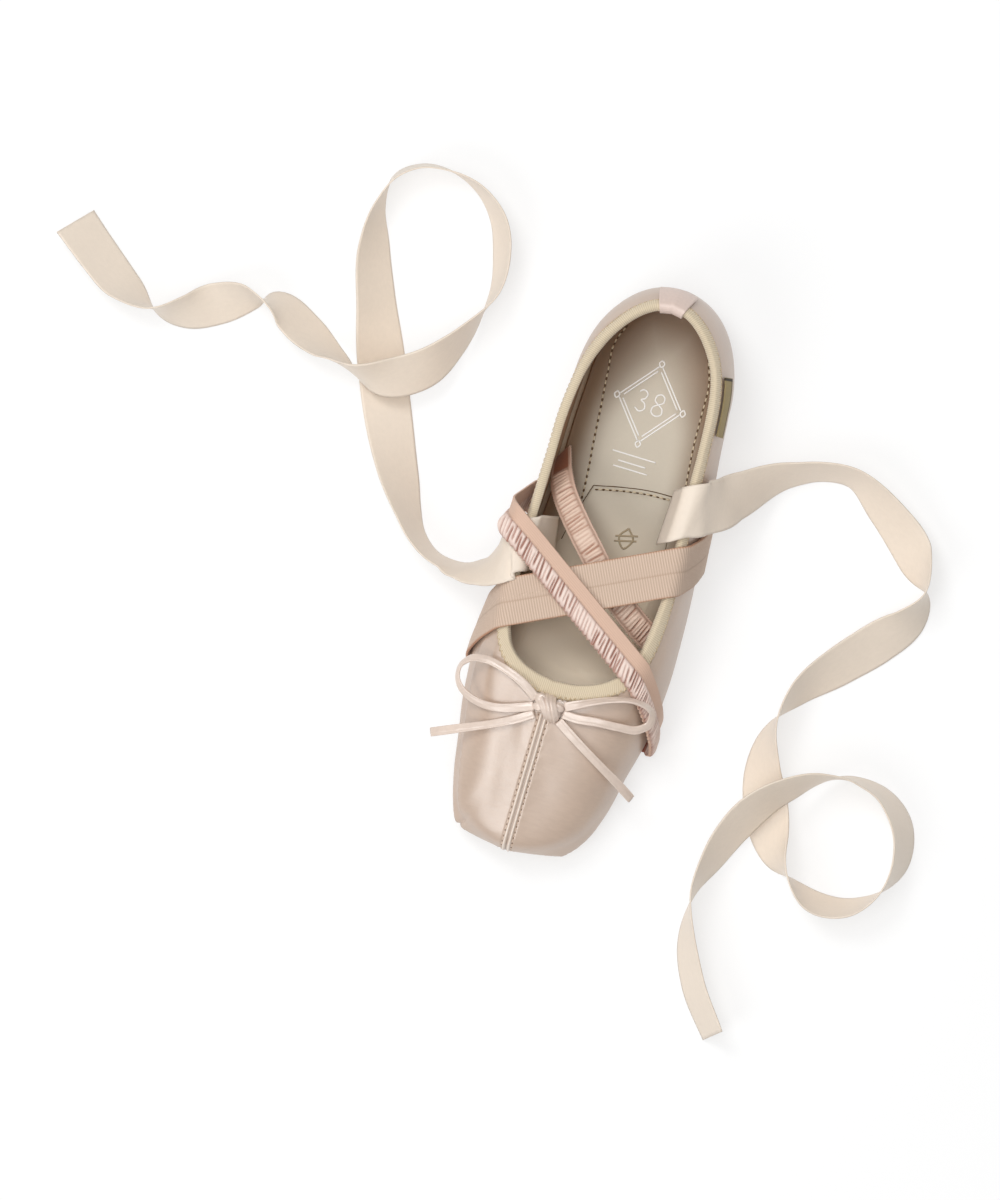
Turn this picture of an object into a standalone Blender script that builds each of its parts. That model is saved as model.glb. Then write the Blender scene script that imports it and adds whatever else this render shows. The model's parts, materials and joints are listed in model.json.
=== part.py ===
"""A ballet flat for the left foot: satin upper with a square box toe, bound topline, three crossed
elastics, a rouleau bow and two loose ankle ribbons, on a thin rubber sole with a low heel.

Metres. +Z up, the toe points to -Y, the heel to +Y, the outer (lateral) side of the foot is at +X.
Tables are in millimetres. A "run" is a place along one side of the shoe: 0 is the middle of the
heel back, HEEL_RUN the widest part of the heel, CORNER_RUN the corner of the box toe and 1 the
middle of the toe. A side is MEDIAL (-1) or LATERAL (+1).
"""
import math

import bmesh
import bpy
import numpy as np
from mathutils import Vector
from mathutils.bvhtree import BVHTree

MM = 0.001
MEDIAL, LATERAL = -1, 1

# Driving dimensions, in millimetres
SHOE_CENTRE_X = 3.0        # middle of the shoe's own box, which is put on the origin
SHOE_CENTRE_Y = 0.2
WALL = 2.0                 # satin, canvas and lining together
GAP = 0.3                  # between pieces that touch
SOLE_THICKNESS = 3.0
HEEL_LIFT = 8.0            # height of the underside of the sole at the heel
TOE_SPRING = 5.0           # height of the underside of the sole at the tip
SPRING_START_Y = -82.0     # the forefoot lies flat from here ...
SPRING_LENGTH = 41.0       # from there forwards to the tip
ARCH_START_Y = -20.0       # ... to here
HEEL_SEAT_Y = 62.0         # the heel seat is level behind this
HEEL_BREAST_Y = 52.0       # front face of the heel block
SOLE_INSET = 1.2           # sole edge inside the widest line of the upper
HEEL_INSET = 1.6           # heel block inside the same line
INSOLE_THICKNESS = 2.2
INSOLE_CLEARANCE = 0.8     # to the inner face of the upper
BINDING_DEPTH = 6.3        # how far the binding reaches down the outside, half of it inside
BINDING_SKIN = 0.7
BINDING_GAP = 0.35
FOLD_ROUNDING = 0.3        # how far a folded tape's top face is drawn in at its edges
TAB_COLUMNS = 2            # the heel tab reaches this many columns to each side of the middle
TAB_RUN = 0.021            # run between those columns
TAB_SKIN = 0.8
TAB_DEPTH = 15.0
TAB_INSIDE = 8.0
RIBBON_WIDTH = 21.0
RIBBON_THICKNESS = 0.5
ELASTIC_THICKNESS = 0.9
PLEATED_WIDTH = 11.5
ROULEAU_RADIUS = 1.35      # stuffed tube of satin that the bow is tied from

# The shape in plan, widest line of the upper
HEEL_RUN = 0.25
CORNER_RUN = 0.87
HEEL_ARC_Y = 78.0          # the heel back is half an ellipse about this line
HEEL_ARC_DEPTH = 44.5
CORNER_Y = -119.5
TOE_BOW = 3.3              # how far the front edge bows forward of the toe corners
OUTLINE = np.array([
    # y,      medial x, lateral x
    (78.0,    -30.4,    36.5),
    (60.0,    -31.0,    38.0),
    (40.0,    -31.1,    40.3),
    (20.0,    -31.9,    42.2),
    (0.0,     -33.8,    43.7),
    (-20.0,   -36.8,    44.8),
    (-40.0,   -38.5,    44.8),
    (-60.0,   -37.5,    43.3),
    (-80.0,   -34.5,    39.0),
    (-100.0,  -30.8,    34.7),
    (-110.0,  -28.0,    30.8),
    (-116.0,  -25.6,    26.8),
    (-119.5,  -23.7,    23.3),
])

# The edge of the upper at the opening, outer face
TOPLINE = {
    MEDIAL: np.array([
        # run,  x,     y,      z
        (0.00,   3.2,  113.8,  57.0),
        (0.06,  -5.0,  111.5,  56.6),
        (0.125, -13.6, 104.2,  55.3),
        (0.19,  -21.6,  92.2,  53.6),
        (0.25,  -26.7,  77.8,  51.5),
        (0.306, -29.2,  60.0,  49.3),
        (0.369, -29.3,  40.0,  47.4),
        (0.432, -29.3,  20.0,  46.0),
        (0.495, -29.0,   1.0,  45.0),
        (0.558, -28.2, -16.0,  44.5),
        (0.62,  -26.3, -29.5,  44.0),
        (0.68,  -23.3, -38.3,  43.6),
        (0.74,  -19.6, -43.3,  43.2),
        (0.80,  -15.5, -46.4,  42.8),
        (0.87,  -10.3, -48.8,  42.2),
        (1.00,    0.0, -50.7,  41.6),
    ]),
    LATERAL: np.array([
        # run,  x,     y,      z
        (0.00,   3.2,  113.8,  57.0),
        (0.06,  11.0,  112.0,  56.6),
        (0.125, 20.1,  104.8,  55.3),
        (0.19,  27.6,   92.8,  53.6),
        (0.25,  31.2,   77.8,  51.5),
        (0.306, 32.3,   60.0,  49.3),
        (0.369, 33.0,   40.0,  47.4),
        (0.432, 34.3,   20.0,  46.0),
        (0.495, 35.4,    0.0,  45.0),
        (0.558, 34.4,  -18.0,  44.5),
        (0.62,  31.8,  -31.0,  44.0),
        (0.68,  27.5,  -39.3,  43.6),
        (0.74,  22.8,  -43.8,  43.2),
        (0.80,  17.8,  -46.8,  42.8),
        (0.87,  11.0,  -49.2,  42.2),
        (1.00,   0.0,  -50.7,  41.6),
    ]),
}

# How the wall rises from the sole, the same on both sides
WALL_SHAPE = np.array([
    # run,  bulge, tuck, radius, cap
    (0.00,  12.0,  3.6,  15.0,  45.0),
    (0.25,  11.0,  3.4,  15.0,  45.0),
    (0.45,   8.5,  3.2,  16.0,  40.0),
    (0.62,   7.0,  3.0,  16.0,  34.0),
    (0.70,   6.5,  2.6,  15.0,  31.0),
    (0.76,   6.0,  2.2,  13.0,  28.5),
    (0.82,   5.5,  1.8,  10.0,  25.8),
    (0.87,   5.0,  1.5,   7.0,  23.8),
    (0.90,   5.0,  1.5,   5.6,  23.3),
    (1.00,   5.0,  1.5,   5.6,  23.0),
])
VAMP_RUN = (0.55, 0.70)    # the quarter's wall turns into the vamp's between these runs
QUARTER_ROUNDNESS = 0.45   # share of a quarter circle that a quarter's wall follows
EDGE_POWER = 2.3           # squareness of the vamp's rounded edge
FOOT_ANGLE = math.radians(15.0)    # slope at which the upper's tucked foot starts


def smooth_rows(rows, at):
    """Every other column of a table at one value of its first column, smooth between its rows."""
    keys = rows[:, 0]
    if keys[0] > keys[-1]:
        keys, at = -keys, -at
    last = len(keys) - 1
    i = int(np.clip(np.searchsorted(keys, at) - 1, 0, last - 1))
    slopes = np.gradient(rows[:, 1:], keys, axis=0)
    span = keys[i + 1] - keys[i]
    t = float(np.clip((at - keys[i]) / span, 0.0, 1.0))
    a, b = rows[i, 1:], rows[i + 1, 1:]
    from_a = (2 * t ** 3 - 3 * t ** 2 + 1) * a + (t ** 3 - 2 * t ** 2 + t) * span * slopes[i]
    from_b = (3 * t ** 2 - 2 * t ** 3) * b + (t ** 3 - t ** 2) * span * slopes[i + 1]
    return from_a + from_b


def smoothstep(low, high, value):
    """0 below low, 1 above high, and an even curve between them."""
    t = np.clip((value - low) / (high - low), 0.0, 1.0)
    return t * t * (3.0 - 2.0 * t)


def sole_underside(y):
    """Height of the underside of the sole: flat forefoot, arch, level heel seat and toe spring."""
    spring = np.maximum(0.0, (SPRING_START_Y - y) / SPRING_LENGTH)
    return TOE_SPRING * spring ** 2 + HEEL_LIFT * smoothstep(ARCH_START_Y, HEEL_SEAT_Y, y)


def outline(side, run):
    """The widest line of the upper, in plan."""
    if run < 0.0:
        return outline(-side, -run)
    if run > 1.0:
        return outline(-side, 2.0 - run)
    if run < HEEL_RUN:
        angle = math.pi / 2 * run / HEEL_RUN
        half_width = (OUTLINE[0, 2] - OUTLINE[0, 1]) / 2
        middle = (OUTLINE[0, 2] + OUTLINE[0, 1]) / 2
        x = middle + side * half_width * math.sin(angle)
        return np.array((x, HEEL_ARC_Y + HEEL_ARC_DEPTH * math.cos(angle)))
    if run < CORNER_RUN:
        y = HEEL_ARC_Y + (CORNER_Y - HEEL_ARC_Y) * (run - HEEL_RUN) / (CORNER_RUN - HEEL_RUN)
        return np.array((smooth_rows(OUTLINE, y)[0 if side == MEDIAL else 1], y))
    corners = OUTLINE[-1, 1:]
    corner = corners[0] if side == MEDIAL else corners[1]
    middle = corners.mean()
    x = corner + (middle - corner) * (run - CORNER_RUN) / (1.0 - CORNER_RUN)
    return np.array((x, CORNER_Y - TOE_BOW * (1.0 - ((x - middle) / (corner - middle)) ** 2)))


def inward(side, run, reach=0.007):
    """Unit vector in plan from the outline towards the inside of the shoe."""
    along = outline(side, run + reach) - outline(side, run - reach)
    across = np.array((-along[1], along[0])) * -side
    return across / np.linalg.norm(across)


def round_rise(share, power):
    """Height of a rounded edge, from 0 at its foot to 1 where it meets the flat top."""
    share = np.clip(share, 0.0, 1.0)
    return (1.0 - (1.0 - share) ** power) ** (1.0 / power)


def foot_inset(run):
    """How far inside the outline the upper meets the sole."""
    return smooth_rows(WALL_SHAPE, run)[1] * (1.0 - math.sin(FOOT_ANGLE))


def meridian(side, run, count=90):
    """The outer face of the upper along one line from the sole up to the edge of the opening."""
    start = outline(side, run)
    normal = inward(side, run)
    top = smooth_rows(TOPLINE[side], run)
    bulge, tuck, radius, cap = smooth_rows(WALL_SHAPE, run)
    foot_z = sole_underside(start[1]) + SOLE_THICKNESS + GAP

    turn = np.linspace(FOOT_ANGLE, math.pi / 2, count // 4)
    inset = tuck * (1.0 - np.sin(turn))
    under = np.column_stack((start[None, :] + normal[None, :] * inset[:, None],
                             foot_z + bulge * (1.0 - np.cos(turn))))

    share = np.linspace(0.0, 1.0, count)[1:] ** 1.6
    distance = np.linalg.norm(top[:2] - start)
    control = start + normal * distance * 0.35
    plan = ((1 - share) ** 2)[:, None] * start + (2 * share * (1 - share))[:, None] * control
    plan = plan + (share ** 2)[:, None] * top[:2]
    steps = np.linalg.norm(np.diff(np.vstack((start, plan)), axis=0), axis=1)
    travelled = np.cumsum(steps)
    base_z = foot_z + bulge
    quarter = round_rise(share * QUARTER_ROUNDNESS, 2.0) / round_rise(QUARTER_ROUNDNESS, 2.0)
    quarter_z = base_z + (top[2] - base_z) * quarter
    vamp_top = cap + (top[2] - cap) * share
    vamp_z = base_z + (vamp_top - base_z) * round_rise(travelled / radius, EDGE_POWER)
    vamp = smoothstep(*VAMP_RUN, run)
    height = quarter_z * (1.0 - vamp) + vamp_z * vamp
    return np.vstack((under, np.column_stack((plan, height))))


def along_line(line, distances):
    """Points of a polyline at given distances from its start."""
    steps = np.linalg.norm(np.diff(line, axis=0), axis=1)
    travelled = np.concatenate(((0.0,), np.cumsum(steps)))
    return np.column_stack([np.interp(distances, travelled, line[:, k]) for k in range(3)])


def loop_places():
    """(side, run) of each column around the shoe, from the heel back along the medial side."""
    half = [TAB_RUN * k for k in range(TAB_COLUMNS)]
    half += list(np.linspace(TAB_COLUMNS * TAB_RUN, HEEL_RUN, 7)[:-1])
    half += list(np.linspace(HEEL_RUN, CORNER_RUN, 20, endpoint=False))
    half += list(np.linspace(CORNER_RUN, 1.0, 5, endpoint=False))
    medial = [(MEDIAL, run) for run in half]
    lateral = [(LATERAL, run) for run in half[1:] + [1.0]]
    return medial + lateral[::-1]


def surface_normals(grid):
    """Outward unit normals of a closed ring of columns, points[column, row]."""
    around = np.roll(grid, -1, axis=0) - np.roll(grid, 1, axis=0)
    up = np.gradient(grid, axis=1)
    normals = np.cross(around, up)
    return normals / np.linalg.norm(normals, axis=2, keepdims=True)


# Straps: straight in plan and pulled tight over the shoe. middle is a point of the strap's middle
# line, angle its direction in plan, drift how far it runs on along the shoe for each millimetre
# that it drops down the side. props are points (x, z) that hold it off the shoe,
# where the ribbon passes under it and where it stands away from the medial wall.
GROSGRAIN = dict(middle=(3.0, -8.2), angle=26.8, width=20.0, drift=0.30, end_height=3.4,
                 props=())
RUCHED = dict(middle=(2.8, -16.9), angle=-34.0, width=12.9, drift=0.42, end_height=3.6,
              props=((-28.4, 49.4), (-34.4, 48.4), (-37.6, 42.0)))
STRAP_CLEARANCE = 0.9      # of the taut line that a strap starts from
STRAP_GAP = 0.75           # that its faces keep
SIDE_TOP = 44.0            # below this height a strap lies on the side and drifts
STRAP_REACH = 62.0         # what lies farther from a strap's middle does not hold it up
PROBE = 4.0                # how far beyond a strap's faces the pieces under it are looked for
STEPS_AT_BEND = 40.0       # a bend of one radian takes as many steps as this length of strap
SIDE_SHARE = 140.0         # so measured, this much of each end goes up the side and over the edge
STEPS_AT_SIDE = 18
SAMPLES = (0.0, 0.25, 0.5, 0.75, 1.0)     # where each face is tested against what it crosses

# The inner pleated elastic, from inside the medial wall to inside the lateral wall
PLEATED = np.array([
    # x,     y,     lift,  roll,  skew
    (-25.5,  43.0,  15.0,  62.0,   0.0),
    (-23.5,  35.0,  22.0,  42.0,   0.0),
    (-19.0,  26.5,  31.5,  18.0,   0.0),
    (-11.0,  17.0,  38.0,   6.0,   0.0),
    (0.0,     5.5,  41.0,   0.0,   0.0),
    (10.0,   -5.0,  41.0,   0.0,   0.0),
    (20.0,  -13.0,  39.0,   0.0,   0.0),
    (28.0,  -18.5,  35.0,   0.0,   0.0),
    (34.0,  -22.0,  31.0,   0.0,   0.0),
])

# Ankle ribbons: the middle of the ribbon, height of its lower edge, roll about its own length
# (0 flat with its right side up, 90 on edge, more than 90 with the other side up)
RIBBON_MEDIAL = np.array([
    # x,      y,      lift,  roll,  skew
    (-17.2,      6.0,   27.4,    0.0,  12.0),
    (-21.0,      4.4,   37.0,    0.0,  22.0),
    (-23.8,      3.1,   42.9,    0.0,  30.0),
    (-25.6,      2.1,   47.0,    0.0,  30.0),
    (-28.5,      0.6,   47.6,    0.0,  30.0),
    (-31.5,     -1.3,   46.8,    4.0,  28.0),
    (-33.8,     -4.2,   40.5,   24.0,  22.0),
    (-36.8,     -7.8,   32.0,   50.0,  10.0),
    (-42.0,    -11.8,   20.0,   65.0,   0.0),
    (-49.0,    -14.8,    9.0,   73.0,   0.0),
    (-57.0,    -16.2,    2.5,   76.0,   0.0),
    (-66.0,    -14.7,    0.6,   77.0,   0.0),
    (-75.0,     -8.5,    0.6,   73.0,   0.0),
    (-82.5,      1.5,    0.6,   61.0,   0.0),
    (-89.5,     13.0,    0.6,   44.0,   0.0),
    (-110.5,    56.0,    0.6,   20.0,   0.0),
    (-120.0,    80.0,    0.6,   42.0,   0.0),
    (-127.7,   102.0,    0.6,   56.0,   0.0),
    (-130.4,   119.5,    0.6,   82.0,   0.0),
    (-127.0,   134.5,    0.6,   98.0,   0.0),
    (-118.0,   141.0,    0.6,   97.0,   0.0),
    (-105.0,   142.3,    0.6,   91.0,   0.0),
    (-91.0,    138.0,    0.6,   80.0,   0.0),
    (-81.0,    129.0,    0.6,   69.0,   0.0),
    (-74.8,    114.0,    0.6,   67.0,   0.0),
    (-73.2,     99.0,    0.8,   76.0,   0.0),
    (-76.3,     86.5,    2.6,   93.0,   0.0),
    (-82.0,     73.5,    6.5,  112.0,   0.0),
    (-93.0,     58.5,   11.8,  137.0,   0.0),
    (-106.0,    51.0,   13.0,  137.0,   0.0),
    (-119.0,    49.3,    8.8,  102.0,   0.0),
    (-132.0,    53.8,    2.2,   68.0,   0.0),
    (-146.0,    61.0,    0.6,   46.0,   0.0),
    (-159.0,    67.3,    0.6,   60.0,   0.0),
    (-172.0,    67.3,    0.6,  115.0,   0.0),
    (-184.0,    60.8,    0.6,  143.0,   0.0),
    (-197.0,    53.3,    0.6,  124.0,   0.0),
    (-210.5,    50.5,    0.6,   88.0,   0.0),
    (-224.0,    56.0,    0.6,   50.0,   0.0),
    (-238.0,    65.7,    0.6,   39.0,   0.0),
    (-252.0,    76.5,    0.6,   34.0,   0.0),
])
RIBBON_LATERAL = np.array([
    # x,      y,      lift,  roll,  skew
    (24.5,      29.0,   36.0,    3.0,  29.0),
    (27.5,      30.5,   44.0,    4.0,  29.0),
    (29.2,      31.4,   47.6,    4.3,  29.0),
    (32.0,      33.0,   48.6,    4.3,  29.0),
    (35.2,      34.7,   48.5,    4.3,  29.0),
    (38.1,      36.1,   46.0,    5.0,  28.0),
    (41.0,      38.1,   40.0,    8.0,  24.0),
    (45.0,      40.9,   30.5,   20.0,  14.0),
    (51.5,      47.2,   17.0,   40.0,   3.0),
    (69.0,      61.8,    2.0,   64.0,   0.0),
    (79.0,      66.3,    0.6,   70.0,   0.0),
    (93.5,      68.0,    0.6,   68.0,   0.0),
    (111.0,     58.3,    0.6,   47.0,   0.0),
    (128.0,     44.0,    0.6,   42.0,   0.0),
    (137.0,     30.0,    0.6,   92.0,   0.0),
    (133.6,     18.0,    0.6,  125.0,   0.0),
    (123.5,      5.0,    0.6,  143.0,   0.0),
    (111.0,     -9.0,    0.6,  138.0,   0.0),
    (98.0,     -25.0,    0.6,  114.0,   0.0),
    (91.8,     -41.0,    0.6,   78.0,   0.0),
    (92.5,     -57.0,    0.6,   48.0,   0.0),
    (98.0,     -73.5,    0.6,   27.0,   0.0),
    (106.0,    -88.5,    0.6,   44.0,   0.0),
    (116.5,   -100.2,    0.6,   90.0,   0.0),
    (129.0,   -106.8,    0.6,  114.0,   0.0),
    (143.0,   -105.5,    0.6,  112.0,   0.0),
    (154.8,    -95.6,    0.6,   92.0,   0.0),
    (159.6,    -82.0,    0.6,   74.0,   0.0),
    (155.5,    -65.5,    0.6,   68.0,   0.0),
    (144.0,    -55.5,    0.6,   75.0,   0.0),
    (131.0,    -53.4,    2.6,   83.0,   0.0),
    (118.5,    -56.8,    6.8,   98.0,   0.0),
    (107.5,    -63.8,   11.0,  114.0,   0.0),
    (97.0,     -73.8,   12.6,  124.0,   0.0),
    (89.3,     -87.3,    8.0,  124.0,   0.0),
    (84.0,    -102.5,    2.5,  113.0,   0.0),
    (80.2,    -118.0,    0.6,   94.0,   0.0),
    (82.3,    -134.5,    0.6,   71.0,   0.0),
    (91.0,    -154.5,    0.6,   60.0,   0.0),
    (105.3,   -173.0,    0.6,   64.0,   0.0),
])

# The bow, tied from one satin tube: x, y, z of its middle line
KNOT = dict(place=(1.3, -61.0, 43.1), size=(11.0, 7.6, 5.0))
BOW = {
    "bow_loop_medial": [
        (-4.9, -59.0, 43.4), (-12.0, -54.4, 44.7), (-21.0, -51.0, 44.4), (-30.0, -49.5, 42.7),
        (-36.0, -50.8, 40.3), (-39.4, -54.5, 38.2), (-39.6, -59.5, 36.9), (-36.5, -64.0, 36.7),
        (-29.0, -67.3, 37.6), (-19.5, -67.4, 40.5), (-11.5, -65.0, 41.9), (-5.0, -62.4, 42.3),
    ],
    "bow_loop_lateral": [
        (7.6, -59.0, 43.4), (16.0, -54.8, 44.8), (26.0, -50.4, 44.9), (35.0, -48.3, 43.8),
        (40.3, -49.0, 41.2), (43.2, -51.6, 37.4), (43.0, -56.0, 35.6), (39.4, -59.2, 36.6),
        (31.0, -60.6, 39.9), (21.5, -61.3, 42.0), (13.5, -62.1, 42.5), (7.8, -62.0, 42.5),
    ],
    "bow_tail_medial": [
        (-4.0, -65.3, 41.5), (-10.0, -69.4, 41.0), (-17.5, -73.5, 39.6), (-25.0, -77.0, 36.9),
        (-33.0, -80.5, 33.6), (-39.0, -83.2, 30.8), (-44.0, -85.4, 28.2),
    ],
    "bow_tail_lateral": [
        (6.8, -65.3, 41.5), (13.5, -69.5, 40.9), (21.5, -74.2, 39.4), (29.5, -78.8, 36.4),
        (36.5, -82.8, 32.0), (41.0, -85.6, 28.0), (44.3, -87.8, 24.0),
    ],
}

MATERIALS = {
    # name: (colour, roughness)
    "satin": ((0.70, 0.56, 0.48, 1.0), 0.38),
    "knit_binding": ((0.74, 0.63, 0.44, 1.0), 0.85),
    "sock_leather": ((0.50, 0.42, 0.32, 1.0), 0.55),
    "sole_rubber": ((0.62, 0.50, 0.38, 1.0), 0.75),
    "heel_stack": ((0.45, 0.32, 0.22, 1.0), 0.6),
    "grosgrain": ((0.66, 0.49, 0.40, 1.0), 0.8),
    "peach_elastic": ((0.72, 0.45, 0.34, 1.0), 0.8),
    "ribbon_satin": ((0.76, 0.67, 0.58, 1.0), 0.42),
}


def make_material(name):
    """One plain material from the table."""
    colour, roughness = MATERIALS[name]
    material = bpy.data.materials.new(name)
    material.use_nodes = True
    shader = material.node_tree.nodes["Principled BSDF"]
    shader.inputs["Base Color"].default_value = colour
    shader.inputs["Roughness"].default_value = roughness
    return material


def place(obj, name, material, parent):
    """Name a piece, give it its material and put it in the shoe's collection."""
    obj.name = name
    obj.data.name = name
    obj.data.materials.clear()
    obj.data.materials.append(bpy.data.materials[material])
    for collection in list(obj.users_collection):
        collection.objects.unlink(obj)
    bpy.data.collections["ballet_flat"].objects.link(obj)
    obj.parent = parent
    return obj


def grid_mesh(points, closed=False, flip=False):
    """A bmesh of points[column, row], in millimetres, as a sheet or as a closed ring of columns."""
    columns, rows = points.shape[:2]
    bm = bmesh.new()
    segments = columns if closed else columns - 1
    bmesh.ops.create_grid(bm, x_segments=segments, y_segments=rows - 1, size=0.5)
    for vert in bm.verts:
        column = round((vert.co.x + 0.5) * segments)
        row = round((vert.co.y + 0.5) * (rows - 1))
        vert.co = Vector(points[column % columns, row]) * MM
    bmesh.ops.remove_doubles(bm, verts=bm.verts[:], dist=1e-7)
    if flip:
        bmesh.ops.reverse_faces(bm, faces=bm.faces[:])
    return bm


def new_object(bm, name):
    """An object from a finished bmesh."""
    mesh = bpy.data.meshes.new(name)
    bm.to_mesh(mesh)
    bm.free()
    obj = bpy.data.objects.new(name, mesh)
    bpy.context.scene.collection.objects.link(obj)
    return obj


def thicken(obj, thickness, offset):
    """Give a sheet its real thickness: offset -1 grows it inwards, 1 outwards, 0 both ways."""
    solidify = obj.modifiers.new("thickness", "SOLIDIFY")
    solidify.thickness = thickness * MM
    solidify.offset = offset
    solidify.use_even_offset = False
    return obj


def make_upper(places):
    """The satin shell, open at the collar and underneath; its top rows follow the binding's."""
    rows = np.linspace(0.0, 1.0, 10) ** 1.25
    grid = []
    for side, run in places:
        line = meridian(side, run)
        length = np.linalg.norm(np.diff(line, axis=0), axis=1).sum()
        distances = list(rows * (length - BINDING_DEPTH)) + [length - BINDING_DEPTH / 2, length]
        grid.append(along_line(line, distances))
    obj = new_object(grid_mesh(np.array(grid), closed=True), "upper")
    return thicken(obj, WALL, -1.0)


def edge_frame(places, distances):
    """Points and outward normals of the upper at distances down from the topline, and up-vectors."""
    grid = []
    for side, run in places:
        line = meridian(side, run)[::-1]
        grid.append(along_line(line, distances))
    grid = np.array(grid)
    normals = -surface_normals(grid)
    up = grid[:, 0] - grid[:, 1]
    up = up / np.linalg.norm(up, axis=1, keepdims=True)
    return grid, normals, up


def folded_band(places, profile, kept=None):
    """Sweep a folded profile along the topline, all round or only at the kept columns.

    A profile point is (drop, out): drop millimetres below the edge of the upper, or above it where
    it is negative, and out millimetres outside its outer face.
    """
    drops = sorted({max(drop, 0.0) for drop, out in profile})
    grid, normals, up = edge_frame(places, np.array(drops))
    sweep = []
    for drop, out in profile:
        level = drops.index(max(drop, 0.0))
        sweep.append(grid[:, level] + normals[:, level] * out + up * max(-drop, 0.0))
    sweep = np.array(sweep).transpose(1, 0, 2)
    sweep = np.concatenate((sweep, sweep[:, :1]), axis=1)
    if kept:
        return grid_mesh(sweep[kept])
    return grid_mesh(sweep, closed=True)


def close_ends(bm):
    """Cap the two open ends of a tube."""
    edges = [edge for edge in bm.edges if edge.is_boundary]
    bmesh.ops.holes_fill(bm, edges=edges, sides=0)


def face_outward(bm):
    """Turn every face of a closed solid outwards."""
    bmesh.ops.recalc_face_normals(bm, faces=bm.faces[:])
    if bm.calc_volume(signed=True) < 0.0:
        bmesh.ops.reverse_faces(bm, faces=bm.faces[:])


def make_binding(places):
    """The knitted tape folded over the edge of the upper."""
    near, far = BINDING_GAP, BINDING_GAP + BINDING_SKIN
    profile = [
        (BINDING_DEPTH, far), (BINDING_DEPTH / 2, far), (0.0, far), (-far, -FOLD_ROUNDING),
        (-far, -WALL + FOLD_ROUNDING), (0.0, -WALL - far), (BINDING_DEPTH / 2, -WALL - far),
        (BINDING_DEPTH / 2, -WALL - near), (0.0, -WALL - near), (-near, -WALL), (-near, 0.0),
        (0.0, near), (BINDING_DEPTH / 2, near), (BINDING_DEPTH, near),
    ]
    bm = folded_band(places, profile)
    face_outward(bm)
    return new_object(bm, "topline_binding")


def make_tab(places):
    """The grosgrain tape folded over the binding at the back of the heel."""
    near = BINDING_GAP + BINDING_SKIN + BINDING_GAP
    far = near + TAB_SKIN
    profile = [
        (TAB_DEPTH, far), (BINDING_DEPTH, far), (0.0, far), (-far, 0.2), (-far, -WALL - 0.2),
        (0.0, -WALL - far), (TAB_INSIDE, -WALL - far), (TAB_INSIDE, -WALL - near),
        (0.0, -WALL - near), (-near, -WALL - 0.1), (-near, 0.1), (0.0, near),
        (BINDING_DEPTH, near), (TAB_DEPTH, near),
    ]
    bm = folded_band(places, profile, kept=list(range(-TAB_COLUMNS, TAB_COLUMNS + 1)))
    close_ends(bm)
    face_outward(bm)
    return new_object(bm, "heel_tab")


def make_slab(name, runs, inset, bottom, top, across=6):
    """A flat layer of the sole between both sides: rows of points joined from side to side.

    inset gives the layer's edge inside the outline at a run; bottom and top give heights at a y.
    """
    shares = np.linspace(0.0, 1.0, across)[:, None]
    rings = []
    for run in runs:
        medial = outline(MEDIAL, run) + inward(MEDIAL, run) * inset(run)
        lateral = outline(LATERAL, run) + inward(LATERAL, run) * inset(run)
        row = medial * (1.0 - shares) + lateral * shares
        lower = np.column_stack((row, bottom(row[:, 1])))
        upper = np.column_stack((row, top(row[:, 1])))
        rings.append(np.vstack((lower, upper[::-1], lower[:1])))
    bm = grid_mesh(np.array(rings))
    close_ends(bm)
    face_outward(bm)
    return new_object(bm, name)


def run_at(y):
    """The run at which the straight part of the sides passes a y."""
    return HEEL_RUN + (CORNER_RUN - HEEL_RUN) * (HEEL_ARC_Y - y) / (HEEL_ARC_Y - CORNER_Y)


def make_sole(half_runs):
    """Outsole, heel block and insole."""
    outsole = make_slab("outsole", half_runs, lambda run: SOLE_INSET, sole_underside,
                        lambda y: sole_underside(y) + SOLE_THICKNESS)
    heel_runs = [run for run in half_runs if run < run_at(HEEL_BREAST_Y) - 0.01]
    heel = make_slab("heel", heel_runs + [run_at(HEEL_BREAST_Y)], lambda run: HEEL_INSET,
                     lambda y: 0.0 * y, lambda y: sole_underside(y) - GAP)
    insole = make_slab("insole", half_runs,
                       lambda run: foot_inset(run) + WALL + INSOLE_CLEARANCE,
                       lambda y: sole_underside(y) + SOLE_THICKNESS + GAP,
                       lambda y: sole_underside(y) + SOLE_THICKNESS + GAP + INSOLE_THICKNESS)
    return outsole, heel, insole


def solid_mesh(piece):
    """A bmesh of a piece with its modifiers applied."""
    bm = bmesh.new()
    bm.from_object(piece, bpy.context.evaluated_depsgraph_get())
    return bm


def cut_points(pieces, origin, across):
    """Where the surfaces of some pieces meet the upright plane through origin, in millimetres."""
    found = []
    for piece in pieces:
        bm = solid_mesh(piece)
        geometry = bm.verts[:] + bm.edges[:] + bm.faces[:]
        cut = bmesh.ops.bisect_plane(bm, geom=geometry, plane_co=origin * MM, plane_no=across)
        found += [vert.co / MM for vert in cut["geom_cut"] if isinstance(vert, bmesh.types.BMVert)]
        bm.free()
    return found


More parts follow.
